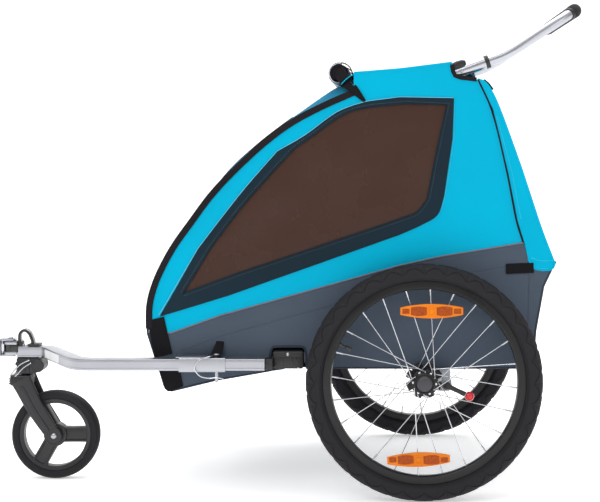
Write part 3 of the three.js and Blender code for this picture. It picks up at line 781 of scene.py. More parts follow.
    patch = Piece(f"corner_guard_{name}", "webbing", slot="webbing")
    lower = [(-569, 269), (-523, 269), (-516, 232), (-533, 224), (-541, 220.5), (-549, 221), (-555, 226),
             (-559, 235)]
    upper = [(-593, 372), (-557, 381), (-539, 302), (-577, 293)]
    for outline in (lower, upper):
        patch.panel(outline, lifted, 3.4, side, step=7)
    patch.ribbon(on_side([(176, 484), (236, 486)], side, 1.6, 6), 22, 2.0, normal)
    for z in (476, 492):
        patch.stitches(on_side([(179, z), (230, z + 2)], side, 2.8, 6), normal)
    if side < 0:
        patch.sweep([(-436, -310.5, 330), (-437, -316, 321), (-440, -324, 310), (-442, -330, 302.9),
                     (-443, -345, 302.6), (-443, -352, 302.4)], rounded(13, 1.2, 1.1, 2),
                    [Vector(up)
                     for up in ((0, -1, 0.1), (0, -1, 0.4), (0, -0.8, 0.6), (0, -0.4, 1), (0, 0, 1),
                                           (0, 0, 1))], scale=[0.64, 0.7, 0.84, 0.96, 1, 1])
    patch.done(soft=True)


# ---------------------------------------------------------------- roof, covers and tub ends
def seam(piece, rows, where, radius=1.4, sides=6):
    """A ridge across a hung sheet, along one of its rows."""
    piece.tube([Vector(p) for p in rows[where]], radius, sides)


def roof_and_covers():
    def roof_half(x, z):
        return COVER_HALF_WIDTH + 2 - 30 * ease((x - 34) / 8)

    roof = Piece("roof_cloth", "blue", slot="blue_fabric")
    rows = hung(ROOF_LINE, roof_half, lambda u, v, x, z: -5 * (1 - v * v) * ease((50 - x) / 60)
                + 0.7 * noise.noise(Vector((x / 60, v * 4, 3))), 36)
    roof.grid(rows, 1.5)
    for _, side in SIDES:
        roof.tube([Vector((p.x, side * 305, p.y)) for p in spaced(ROOF_EDGE, 10)], 2.6, 8)
    roof = roof.done("canopy_roof", soft=True)

    stitches = Piece("roof_stitches", "thread_blue", slot="blue_fabric")
    for row in (2, 3, len(rows) - 3):
        stitches.stitches([Vector(p) + Vector((0, 0, 0.2)) for p in rows[row]], (0, 0, 1))
    stitches.done(soft=True)

    line = resampled(FRONT_COVER_LINE, 44)
    rows = hung(line, 303, lambda u, v, x, z: -4 * (1 - v ** 4) * math.sin(math.pi * u)
                + 0.8 * noise.noise(Vector((u * 6, v * 5, 8))), 36)
    sides = resampled(shifted(FRONT_EDGE, -0.5)[::-1], 44)
    for row, (x, z) in zip(rows, sides):
        for j, point in enumerate(row):
            share = abs(2 * j / (len(row) - 1) - 1) ** 7
            row[j] = Vector(point).lerp(Vector((x, point[1], z)), share)
    last, wide = len(rows) - 1, len(rows[0]) - 1
    low, high, left, right = round(last * 0.2), round(last * 0.82), 6, wide - 6
    # The front cover's cloth takes the darker blue, which is painted shade.
    front = Piece("front_cover_cloth", "shaded_blue", "front_cover", "front_cover_fabric")
    front.grid(rows, 1.6, lambda i, j: low <= i < high and left <= j < right)
    front = front.done("front_cover", soft=True)
    net = Piece("front_net", "net", "front_cover", "black_fabric")
    net.grid([row[left:right + 1] for row in rows[low:high + 1]], 0.7)
    net = net.done(soft=True)
    bind = Piece("front_binding", "black", "front_cover", "black_fabric")
    ring = [*rows[low][left:right], *[row[right] for row in rows[low:high]],
            *reversed(rows[high][left + 1:right + 1]),
            *[row[left] for row in reversed(rows[low + 1:high + 1])]]
    ups = []
    for p in ring:
        i = min(range(len(line)), key=lambda k: (line[k][0] - p[0]) ** 2 + (line[k][1] - p[2]) ** 2)
        (x0, z0), (x1, z1) = line[max(i - 1, 0)], line[min(i + 1, len(line) - 1)]
        ups.append(Vector((z0 - z1, 0, x1 - x0)).normalized())
    bind.sweep([Vector(p) + up * 0.6 for p, up in zip(ring, ups)], rounded(8, 1.4, 1.2, 2), ups, closed=True)
    seam(bind, rows, 0, 3.2, 8)
    for y in (-150, 150):
        foot = [rows[1][0][0] - 2, 0, rows[1][0][2]]
        bind.ribbon([(foot[0], y, foot[2] + 45), (foot[0] - 2, y, foot[2] + 12),
                     (foot[0] + 4, y, foot[2] - 30), (foot[0] + 14, y, foot[2] - 62)], 24, 2.2, (-1, 0, 0))
    bind.done(soft=True)

    rows = hung(REAR_COVER_LINE, 304, lambda u, v, x, z: 6 * (1 - v ** 4) * math.sin(math.pi * u)
                + 0.9 * noise.noise(Vector((u * 7, v * 5, 2))), 32)
    rear = Piece("rear_cover_cloth", "blue", "rear_cover", "blue_fabric")
    rear.grid(rows, 1.6)
    hem = [(283, 497), (279, 486), (270, 480.5), (254, 480.5), (239, 483), (230, 494), (224, 505)]
    gusset = [(117, 894), *REAR_COVER_LINE[2:-1], *hem, (216, 541), (202, 586), (182, 689), (149, 827),
              (127, 871)]
    for _, side in SIDES:
        rear.panel(gusset, lambda x, z: outward(x, z) + 0.9, 2.2, side, step=9)
        rear.tube(on_side(hem, side, 0.6, 5), 1.8, 8)
    rear = rear.done("rear_cover", soft=True)
    trim = Piece("rear_cover_trim", "black", "rear_cover", "black_fabric")
    seam(trim, rows, -1, 2.6, 8)
    for _, side in SIDES:
        trim.ribbon([(131, side * 286, 890), (141, side * 286, 881), (150, side * 286, 869)], 26, 3.2,
                    (0.7, 0, 0.7))
        trim.ribbon([(262, side * 180, 552), (276, side * 180, 522), (289, side * 180, 490),
                     (283, side * 180, 462)],
                    24, 2.2, (1, 0, 0.3))
    trim.done(soft=True)
    threads = Piece("rear_cover_stitches", "pale_thread_and_highlight", "rear_cover", "blue_fabric")
    for row in (4, 5, len(rows) - 3, len(rows) - 2):
        threads.stitches([Vector(p) + Vector((0.3, 0, 0.2)) for p in rows[row]], (0.9, 0, 0.3))
    for _, side in SIDES:
        for line in ([(231, 508), (245, 502), (262, 500), (278, 502)], [(242, 486), (254, 484), (268, 484)],
                     [(157, 812), (190, 690), (209, 590)]):
            threads.stitches(on_side(line, side, 1.1, 4), (0, side, 0), 3.8, 2.4)
    threads.done(soft=True)


def tub_ends_and_floor():
    ends = {
        "front": ([(-540, 227), (-555, 238), (-566, 267), (-576, 297), (-584, 320), (-592, 344)], 3),
        "rear": ([(273, 484), (254, 446), (245, 398), (236, 351), (232, 315), (229, 278)], 8),
    }
    for name, (line, bulge) in ends.items():
        rows = hung(plane_spline(line, 3), COVER_HALF_WIDTH + 1, lambda u, v, x, z, b=bulge:
                    b * (1 - v ** 4) * math.sin(math.pi * u)
                    + 0.8 * noise.noise(Vector((u * 5, v * 6, 4))), 30)
        end = Piece(f"tub_end_{name}", "grey", slot="grey_fabric")
        end.grid(rows, 1.8)
        seam(end, rows, len(rows) // 2, 1.4)
        seam(end, rows, 0 if name == "rear" else -1, 2.6, 8)
        end = end.done(f"tub_{name}", soft=True)
    floor = Piece("floor_cloth", "grey", slot="grey_fabric")
    line = [(-531, 229), (-446, 250), (-304, 268.5), (-290, 273.4), (-120, 273.6), (60, 273.6), (221, 273.4)]
    rows = hung([tuple(p) for p in spaced(line, 18)], 301,
                lambda u, v, x, z: -2.5 * (1 - v * v) * math.sin(math.pi * u)
                + 0.5 * noise.noise(Vector((x / 50, v * 6, 9))), 30)
    floor.grid(rows, 2.4)
    for x in (-380, -180, 40):
        floor.tube([(x, y, 262 if x < -300 else 275.5) for y in range(-230, 231, 20)], 1.8, 6)
    floor = floor.done("floor_panel")


ROLL_CENTRE = (-181, 906)


def rolled_cover():
    """A mesh cover rolled up above the front opening, with the edge of its clear film round the front."""
    def spiral(start, gap, turns, phase, crumple, y):
        made = []
        for i in range(round(turns * 20) + 1):
            a = phase + i / 20 * 2 * math.pi
            r = start + gap * i / 20 + crumple * noise.noise(Vector((a * 1.3, y / 45, start)))
            r += 0.5 * crumple * noise.noise(Vector((a * 3.7, y / 16, start)))
            r *= 1 - 0.1 * ease((abs(y) - 225) / 50)
            made.append((ROLL_CENTRE[0] + r * math.cos(a), y, ROLL_CENTRE[1] + 0.94 * r * math.sin(a)))
        return made

    spread = range(-268, 269, 8)
    net = Piece("rolled_net", "black", slot="black_fabric")
    net.grid([spiral(5.6, 4.9, 3.6, 0.4, 1.3, y) for y in spread], 3.3)
    net = net.done("rolled_rain_cover", soft=True)
    # The film layer over the roll's top and front is coloured whitish, which is painted highlight.
    film = Piece("rolled_film", "clear", slot="black_fabric")
    film.grid([spiral(25.6, 0.8, 0.5, 1.5, 2.6, y) for y in spread], 0.8)
    film = film.done(soft=True)
    ties = Piece("roll_ties", "webbing", slot="webbing")
    for y in (-215, 0, 215):
        ring = [(ROLL_CENTRE[0] + 25.8 * math.cos(a), y, ROLL_CENTRE[1] + 24.4 * math.sin(a))
                for a in (2 * math.pi * i / 28 for i in range(28))]
        ups = [Vector((x - ROLL_CENTRE[0], 0, z - ROLL_CENTRE[1])).normalized() for x, _, z in ring]
        ties.sweep(ring, rounded(9, 1.1, 1, 2), ups, closed=True)
    for _, side in SIDES:
        tail = [(-184, side * 270, 912), (-176, side * 282, 897), (-163, side * 299, 882),
                (-149, side * 309.4, 868), (-138, side * 310.4, 856), (-126, side * 310.4, 843)]
        ups = [Vector(up)
               for up in ((-0.7, side * 0.5, 0.4), (-0.6, side * 0.7, 0.4), (-0.3, side, 0.4), (0, side, 0.2),
                                     (0, side, 0), (0, side, 0))]
        ties.sweep(tail, rounded(12, 1.6, 1.4, 2), ups, scale=[1.2, 1.15, 1, 0.8, 0.55, 0.25])
    ties.done(soft=True)


# ---------------------------------------------------------------- padded seat and harness
def applied(made):
    graph = bpy.context.evaluated_depsgraph_get()
    mesh = bpy.data.meshes.new_from_object(made.evaluated_get(graph))
    made.modifiers.clear()
    made.data = mesh


def inflated(made, cap, pressure=4.0, voxel=0.006):
    """Fills a closed cloth form with air, by simulation, and keeps each point within cap of its place."""
    remesh = made.modifiers.new("remesh", "REMESH")
    remesh.mode = "VOXEL"
    remesh.voxel_size = voxel
    applied(made)
    rest = [v.co.copy() for v in made.data.vertices]
    air = made.modifiers.new("air", "CLOTH")
    air.settings.quality = 4
    air.settings.mass = 0.25
    air.settings.use_pressure = True
    air.settings.uniform_pressure_force = pressure
    air.settings.effector_weights.gravity = 0
    air.point_cache.frame_end = 20
    for step in range(1, 21):
        bpy.context.scene.frame_set(step)
    applied(made)
    bpy.context.scene.frame_set(1)
    for vertex, start in zip(made.data.vertices, rest):
        moved = vertex.co - start
        if moved.length > cap:
            vertex.co = start + moved * (cap / moved.length)
    finer = made.modifiers.new("finer", "SUBSURF")
    finer.levels = finer.render_levels = 1
    applied(made)
    for face in made.data.polygons:
        face.use_smooth = True
    if not made.data.materials:
        made.data.materials.append(LOOKS["seat"])


def quilted(made, line, channels, depth=0.6, width=9):
    """Presses sewn channels into a pad that lies along a line in the XZ plane."""
    middle = [at(x, 0, z) for x, z in (tuple(p) for p in spaced(line, 6))]
    for vertex in made.data.vertices:
        flat = Vector((vertex.co.x, 0, vertex.co.z))
        near = min(range(len(middle)), key=lambda i: (middle[i] - flat).length_squared)
        along = near / (len(middle) - 1)
        nearest = min(abs(vertex.co.y * 1000 - y) for y in channels[0])
        across = min([abs(along - share) * len(middle) * 6 for share in channels[1]] or [1e9])
        press = max(math.exp(-(nearest / width) ** 2), math.exp(-(across / width) ** 2))
        off = flat - middle[near]
        vertex.co -= Vector((off.x, 0, off.z)) * depth * press


def seats():
    pads = {
        "seat_base": ([(-246, 373.7), (-100, 362), (43, 354.2)], (0.02, 0.34, 0.67, 0.98)),
        "seat_back": ([(62.3, 376), (64, 600), (67.8, 828)], (0.01, 0.22, 0.42, 0.62, 0.82, 0.99)),
    }
    for node, (line, across) in pads.items():
        pad = Piece(f"{node}_pad", "seat", slot="seat_fabric")
        rows = hung([tuple(p) for p in spaced(line, 16)], 232, lambda u, v, x, z: 4.0, 28)
        pad.grid(rows, 8.0)
        made = pad.done()
        inflated(made, 0.006)
        quilted(made, line, ((-228, -60, 0, 60, 228), across))
        made.parent = None
        flatten(made)
        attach(made, "root")
        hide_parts(node)
    slings = Piece("seat_slings", "webbing", slot="webbing")
    for _, side in SIDES:
        slings.ribbon([(-232, side * 236, 377), (-330, side * 258, 368), (-480, side * 272, 362),
                       (-555, side * 274, 356)], 26, 2.0, (0, side, 0.3))
        slings.ribbon([(38, side * 234, 356), (64, side * 240, 352), (84, side * 242, 346)], 26, 2.0,
                      (0, side, 0.3))
        for y in (60, 190):
            slings.ribbon([(66, side * y, 822), (72, side * y, 846), (84, side * y, 851), (97, side * y, 846),
                           (97, side * y, 834), (84, side * y, 829)], 24, 2.0, (-1, 0, 0.5))
    slings.done(soft=True)


def harness(name, side):
    centre = side * 120
    straps = Piece(f"harness_webbing_{name}", "webbing", slot="webbing")
    pads = Piece(f"harness_pads_{name}", "black", slot="black_fabric")
    for hand in (-1, 1):
        top, bottom = centre + hand * 55, centre + hand * 16
        line = spline([(54, top, 782), (45, top, 760), (41, centre + hand * 48, 700),
                       (41, centre + hand * 33, 590), (42, bottom, 486), (43, bottom, 462)], 5)
        straps.ribbon(line, 20, 2.0, (-1, 0, 0))
        pads.sweep(line[5:15], rounded(17, 3.6, 3.4, 3), (-1, 0, 0),
                   scale=[0.85, 0.97, 1, 1, 1, 1, 1, 1, 0.97, 0.85])
        straps.ribbon(spline([(44, centre + hand * 22, 458), (36, centre + hand * 70, 420),
                              (40, centre + hand * 92, 385), (50, centre + hand * 96, 372)], 5), 20, 2.0,
                      (-1, 0, 0.2))
    straps.ribbon(spline([(40, centre, 446), (22, centre, 410), (-12, centre, 380), (-40, centre, 369)], 5),
                  24, 2.0, (-0.8, 0, 0.6))
    straps.done(f"harness_{name}", soft=True)
    pads = pads.done(soft=True)
    buckle = Piece(f"harness_buckle_{name}", "plastic", slot="black_plastic")
    buckle.block((35, 52), (centre - 25, centre + 25), (442, 479), 5, 3)
    buckle.block((32.5, 36), (centre - 10, centre + 10), (450, 471), 1.4)
    for hand in (-1, 1):
        buckle.block((38, 48), (centre + hand * 22 - 9, centre + hand * 22 + 9), (470, 486), 2.5)
    buckle.done(soft=True)


# ---------------------------------------------------------------- frame
def bow_line(side):
    y = side * 290
    points = [(-535, y, 285), (-566, y, 350), (-574, y, 416), (-545, y, 490), (-440, y, 650), (-330, y, 745),
              (-215, y, 822), (-140, y, 866), (-60, y, 884), (20, y, 890), (66, y, 902)]
    return spline(points, 6)


def upper_frame():
    for name, side in SIDES:
        y = side * 290
        bow = Piece(f"bow_tube_{name}", "tube", "upper_frame", "aluminium")
        bow.tube(bow_line(side), 9, 20)
        bow.rod((-535, y - 9, 285), (-535, y + 9, 285), [(10.6, 0), (12, 0.1), (12, 0.9), (10.6, 1)])
        ahead = Vector((80, 0, 29)).normalized()
        start, end = Vector((62, y, 901)), Vector((142, y, 930))
        bow.pipe([start, start.lerp(end, 0.5), end], circle(12.5, 28), circle(11.5, 28))
        bow.rod(start - ahead * 2, start + ahead * 1, [(9, 0), (12.2, 0.5), (12.5, 1)], 28)
        bow.done(f"bow_{name}")
        fittings = Piece(f"socket_fittings_{name}", "plastic", "upper_frame", "black_plastic")
        collar = [end - ahead * 9, end - ahead * 8.4, end - ahead * 1, end - ahead * 0.2]
        fittings.pipe(collar, circle(14.4, 28), circle(12.4, 28))
        saddle = [start + ahead * reach + Vector((0, 0, 16)) for reach in (-3, 1, 12, 24, 31)]
        fittings.sweep(saddle, rounded(13.4, 9, 6, 4), (0, 0, 1), scale=[0.5, 0.86, 1, 0.9, 0.5])
        fittings.done()
        rivet = Piece(f"socket_rivet_{name}", "steel", f"socket_button_{name}", "steel")
        rivet.rod((82, side * 298, 908.25), (82, side * 306, 908.25),
                  [(4, 0), (4, 0.8), (3.2, 0.94), (1.6, 1)], 20)
        rivet.done(f"socket_button_{name}")
    cross = Piece("top_cross_bar", "tube", "upper_frame", "aluminium")
    cross.tube([(75, y, 902) for y in range(-276, 277, 46)], 9, 20)
    cross.done("top_cross_tube")


def rear_legs():
    for name, side in SIDES:
        y = side * 258
        leg = Piece(f"rear_leg_tube_{name}", "tube", "rear_legs", "aluminium")
        leg.tube([Vector((95, y, 308)).lerp(Vector((88, y, 872)), i / 8) for i in range(9)], 9, 20)
        leg.rod((95, y - 9, 308), (95, y + 9, 308), [(8, 0), (9.3, 0.1), (9.3, 0.9), (8, 1)])
        leg.done(f"rear_leg_{name}")
        cap = Piece(f"rear_leg_cap_{name}", "plastic", "rear_legs", "black_plastic")
        cap.rod((88.2, y, 858), (88, y, 873), [(9.6, 0), (9.9, 0.1), (9.9, 0.75), (8, 0.95), (4, 1)])
        cap.done()
    cross = Piece("leg_cross_bar", "tube", "rear_legs", "aluminium")
    cross.tube([(88.5, y, 840) for y in range(-248, 249, 31)], 8, 20)
    cross.done("leg_cross_tube")


def push_bar():
    half = [(76, -290, 906.1), (142, -290, 930), (166, -290, 938.7), (196, -289, 954), (250, -280, 989),
            (302, -268, 1023), (326, -250, 1039), (335, -215, 1045), (335, -150, 1045), (335, -75, 1045)]
    line = spline(half + [(x, -y, z) for x, y, z in reversed(half)], 7)
    bar = Piece("push_bar_tube", "tube", "push_bar", "aluminium")
    bar.tube(line, 10.7, 28)
    bar.done("push_bar")
    foam = Piece("push_bar_foam", "foam", "push_bar", "foam_grip")
    held = [p for p in line if abs(p.y) < 257]
    scale = [0.8, 0.96] + [1 + 0.012 * math.sin(i * 1.7) for i in range(len(held) - 4)] + [0.96, 0.8]
    foam.sweep(held, circle(15.3, 28), scale=scale)
    foam.done("push_bar_grip")
    rings = Piece("grip_rings", "plastic", "push_bar", "black_plastic")
    for pair in ((held[0], held[1]), (held[-1], held[-2])):
        away = (pair[0] - pair[1]).normalized()
        rings.rod(pair[0] + away * 5, pair[0] - away * 2, [(11.4, 0), (12.9, 0.2), (13.2, 0.7), (13, 1)])
    rings.done()


def floor_and_axle():
    joints = Piece("frame_joint_plates", "steel", slot="steel")
    for _, side in SIDES:
        for x in (-530, 209):
            joints.block((x - 15, x + 15), sorted((side * 228, side * 269.5)), (298, 300.6), 1.2)
            for dy in (236, 258):
                joints.lathe([[0, 304.4], [3, 304.2], [4.6, 303], [4.8, 300.4]], (x, side * dy, 0), 16, "Z")
        joints.lathe([[0, 0], [7, 0.4], [7.6, 3], [6, 4]] if side < 0 else
                     [[0, 4], [7, 3.6], [7.6, 1], [6, 0]],
                     (-535, side * 299 - (4 if side < 0 else 0), 285), 20)
    joints.done()
    hardware = Piece("axle_clamps", "plastic", slot="black_plastic")
    for _, side in SIDES:
        for y in (180, 222):
            hardware.block((-19, 19), sorted((side * y, side * (y + 12))), (236, 275.5), 3)
        inner, outer = sorted((side * 333, side * 336))
        hardware.lathe([[9, inner], [15, inner], [15, outer], [9, outer]], (0, 0, 250), 32)
    hardware.done()


# ---------------------------------------------------------------- wheels
def wheel_place(side):
    """The right wheel is the left one turned round, and stands a quarter of a turn further on."""
    turn = Matrix.Identity(4)
    if side > 0:
        turn = Matrix.Rotation(math.pi, 4, "Z") @ Matrix.Rotation(math.pi / 2, 4, "Y")
    return Matrix.Translation((0, side * 370, 250)) @ turn


def treaded(piece, scallops=32, sides=448):
    """A tyre whose raised shoulders end in a row of scallops; the rows of points follow the scallops."""
    def wall(r, proud=0.0):
        return r, 22.2 * math.sqrt(max(0.0, 1 - ((r - 229) / 21.4) ** 2)) + proud

    def flank(share):
        edge = 230 + 12.5 * math.sin(math.pi * share)
        sunk = 1.4 if share < 0.07 or share > 0.93 else 0.0
        rows = [(214.5, 11.6), (216.6, 16.2), wall(221.5), wall(edge - 3), wall(edge - 0.6, -0.7),
                wall(edge + 0.3, 0.9 - sunk), wall(edge + 1.6, 1.3 - sunk),
                wall((edge + 247) / 2, 1.2 - sunk)]
        return rows + [(246.4 - sunk, 13.6), (248.2 - sunk, 9.6), (247.2, 8.6), (247.2, 7.4)]

    points, size = [], 0
    for i in range(sides):
        a = 2 * math.pi * i / sides
        near = (i * scallops / sides) % 1
        far = (near + 0.5) % 1
        block = 1.6 if 0.4 < near < 0.56 else 0.0
        crown = [(249.5 - block, 6.4), (250 - block, 3.0), (250 - block, -3.0), (249.5 - block, -6.4)]
        section = [*flank(near), *crown, *[(r, -y) for r, y in reversed(flank(far))], (212.4, -9.5),
                   (212.4, 9.5)]
        size = len(section)
        points += [(r * math.cos(a), -y, r * math.sin(a)) for r, y in section]
    piece.raw(points, [(i * size + k, i * size + (k + 1) % size, (i + 1) % sides * size + (k + 1) % size,
                        (i + 1) % sides * size + k) for i in range(sides) for k in range(size)])


def lens_outline(x, z, tilt, length, middle, end, steps=14):
    """A long shape that is tallest in the middle and cut off at its ends."""
    upper = [(length * t, end + (middle - end) * (1 - abs(t) ** 1.9)) for t in
             (1 - 2 * i / steps for i in range(steps + 1))]
    turn = Matrix.Rotation(math.radians(tilt), 2)
    shape = [*upper, *[(-a, -b) for a, b in upper]]
    return [tuple(turn @ Vector(p) + Vector((x, z))) for p in shape]


SPOKE_LEAD = math.radians(3.6)


def main_wheel(name, side):
    body, place = f"wheel_{name}", wheel_place(side)
    tyre = Piece(f"tyre_tread_{name}", "rubber", body, "tyre_rubber", place)
    treaded(tyre)
    tyre.done(f"tyre_{name}", crease=24)
    rim = Piece(f"rim_hoop_{name}", "alloy", body, "black_alloy", place)
    half = [(195.5, 4.5), (195.8, 5.6), (197.4, 11.2), (198.6, 12), (213, 12), (214, 11.4), (214, 9.8),
            (212.2, 9.6)]
    rim.lathe([*[(r, -y) for r, y in half], *reversed(half), (195.5, -4.5)], sides=144)
    rim.done(f"rim_{name}")

    hub = Piece(f"hub_shell_{name}", "alloy", body, "steel", place)
    hub.lathe([(8.6, -20), (17.9, -20), (17.9, -27.6), (18.6, -28.2), (20.6, -28.2), (21.4, -27.4),
               (21.8, -19), (23, -18.2), (27, -18), (28, -17.2), (28, -13), (27.2, -12), (17, -11.6),
               (15, -9), (14.6, 3), (15, 15), (17, 18), (27.2, 18.6), (28, 19.4), (28, 23.2), (27.2, 24),
               (17.4, 24.4), (17.2, 26.4), (8.6, 26.4), (8.6, -20)], sides=72)
    disc = []
    for i in range(160):
        a = 2 * math.pi * i / 160
        r = 29.3 if i % 20 in (17, 18, 19, 0, 1, 2, 3) else 39
        disc.append((r * math.cos(a), r * math.sin(a)))
    hub.plate(disc, 26.2, 33.6, 0.6)
    hub.done(f"hub_{name}")

    wires = Piece(f"spokes_{name}", "wire", body, "steel", place)
    for i in range(24):
        rim_angle = 2 * math.pi * i / 24 - SPOKE_LEAD
        lead = -1 if (i // 2) % 2 else 1
        hub_angle = rim_angle + lead * math.pi / 3
        flange = 21 if i % 2 else -15
        y = flange + lead * 3.4
        start = Vector((24 * math.cos(hub_angle), y, 24 * math.sin(hub_angle)))
        end = Vector((195.9 * math.cos(rim_angle), math.copysign(2, flange), 195.9 * math.sin(rim_angle)))
        wires.rod(start, end, [(1.05, 0), (1.05, 0.93)], 8)
        wires.rod(end.lerp(start, 0.085), end, [(1.1, 0), (1.9, 0.06), (1.9, 0.8), (2.5, 1)], 10)
        wires.rod((start.x, flange - lead * 3.2, start.z), (start.x, flange + lead * 4.6, start.z),
                  [(2.4, 0), (2.3, 0.1), (1.1, 0.25), (1.1, 1)], 10)
    wires.done()

    cap = Piece(f"hub_cap_{name}", "cap", f"hub_button_{name}", "cap_plastic", place)
    cap.lathe([(0, -34), (4, -33.95), (9, -33.4), (13, -32.2), (15.6, -30.4), (17, -28.2), (17.4, -26.6),
               (17.4, -24.4), (16.8, -24), (0, -24)], sides=56)
    cap.done(f"hub_button_{name}")

    lens = Piece(f"reflector_frames_{name}", "amber", body, "red_plastic", place)
    prisms = Piece(f"reflector_prisms_{name}", "reflector", body, "red_plastic", place)
    clips = Piece(f"reflector_clips_{name}", "plastic", body, "black_plastic", place)
    for x, z, tilt in ((15, 151.4, 0), (-12.6, -159.6, 2)):
        lens.plate(lens_outline(x, z, tilt, 66, 15, 7.5), -20.2, -13.5, 1.4)
        lens.lathe([(0, -22.8), (4.4, -22.6), (5.6, -21.6), (6.4, -20.6), (9.4, -21.4), (10.4, -21),
                    (10.8, -20)],
                   (x, 0, z), 36)
        for dx in (-27, 27):
            prisms.plate(lens_outline(x + dx, z, tilt, 16.5, 9.8, 7.6), -20.9, -20, 0.3)
        for dx in (-54, 54):
            prisms.plate(lens_outline(x + dx, z, tilt, 7.5, 5.4, 5), -20.6, -20, 0.2)
        for dx in (-44, 0, 44):
            clips.block((x + dx - 5, x + dx + 5), (-13.6, -5), (z - 5, z + 5), 1.6)
    lens.done()
    prisms.done()
    clips.done()

    valve = Piece(f"valve_{name}", "gloss", body, "tyre_rubber", place)
    a = math.radians(156)
    base, tip = 195.8, 168
    valve.rod((base * math.cos(a), 0, base * math.sin(a)), (tip * math.cos(a), 0, tip * math.sin(a)),
              [(5, 0), (4.6, 0.08), (3, 0.16), (2.9, 0.5), (4, 0.54), (4, 0.94), (3.2, 1)], 16)
    valve.done()


# ---------------------------------------------------------------- brake
def brake():
    lever = Piece("brake_shaft_and_lever", "plastic", "brake_lever", "black_plastic")
    lever.tube([(48, y, 238) for y in (-340, -200, 0, 200, 330)], 5, 16)
    lever.lathe([(4.6, -342), (7, -342), (8, -341), (8, -334.5), (7, -333.6), (4.6, -333.6)], (48, 0, 238),
                28)
    lever.sweep([Vector((48, -338, 238)).lerp(Vector((88, -338, 219)), i / 6) for i in range(7)],
                rounded(4, 5, 2.6, 3), (0, 0, 1), scale=[1, 1.08, 1, 0.94, 0.94, 1, 1])
    lever.done("brake_lever")
    knob = Piece("brake_ball", "red", "brake_lever", "red_plastic")
    knob.rod((89, -336, 218.4), (106, -336, 210.2),
             [(5.2, 0), (7.6, 0.06), (9.3, 0.22), (10, 0.45), (9.5, 0.66), (7.4, 0.86), (4, 0.97), (1, 1)],
             32)
    knob.done("brake_knob")
    plates = Piece("brake_bracket_plates", "bracket", slot="steel")
    bolts = Piece("brake_bracket_bolts", "steel", slot="steel")
    outline = [(20, 268), (20, 258), (26, 232), (34, 226), (54, 226), (60, 234), (58, 250), (48, 262),
               (44, 268)]
    pin_hole = [(34 + a, 250 + b) for a, b in circle(5.2, 16)]
    for _, side in SIDES:
        plates.panel(outline, lambda x, z: 335, 3.5, side, [pin_hole], step=5)
        for x, z in ((28, 262), (40, 262)):
            end = side * 337.6
            bolts.rod((x, side * 334.5, z), (x, end, z), [(4.2, 0), (4.2, 0.5), (3, 0.9), (1.4, 1)], 6)
    plates.done()
    bolts.done()


# ---------------------------------------------------------------- tow arm and its fittings
def grooved(half_width, half_height):
    """The arm's section: rounded corners and two fine grooves along each side."""
    right = []
    for b in (-7.2, 7.2):
        right += [(half_width, b - 0.8), (half_width - 0.7, b - 0.3), (half_width - 0.7, b + 0.3),
                  (half_width, b + 0.8)]
    corner = rounded(half_width, half_height, 2.4, 3)
    top = [p for p in corner if p[1] > half_height - 2.6]
    bottom = [p for p in corner if p[1] < -half_height + 2.6]
    top_left, top_right = [p for p in top if p[0] < 0], [p for p in top if p[0] > 0]
    low_left, low_right = [p for p in bottom if p[0] < 0], [p for p in bottom if p[0] > 0]
    left = [(-a, -b) for a, b in right]
    return [*right, *top_right, *top_left, *left, *low_left, *low_right]


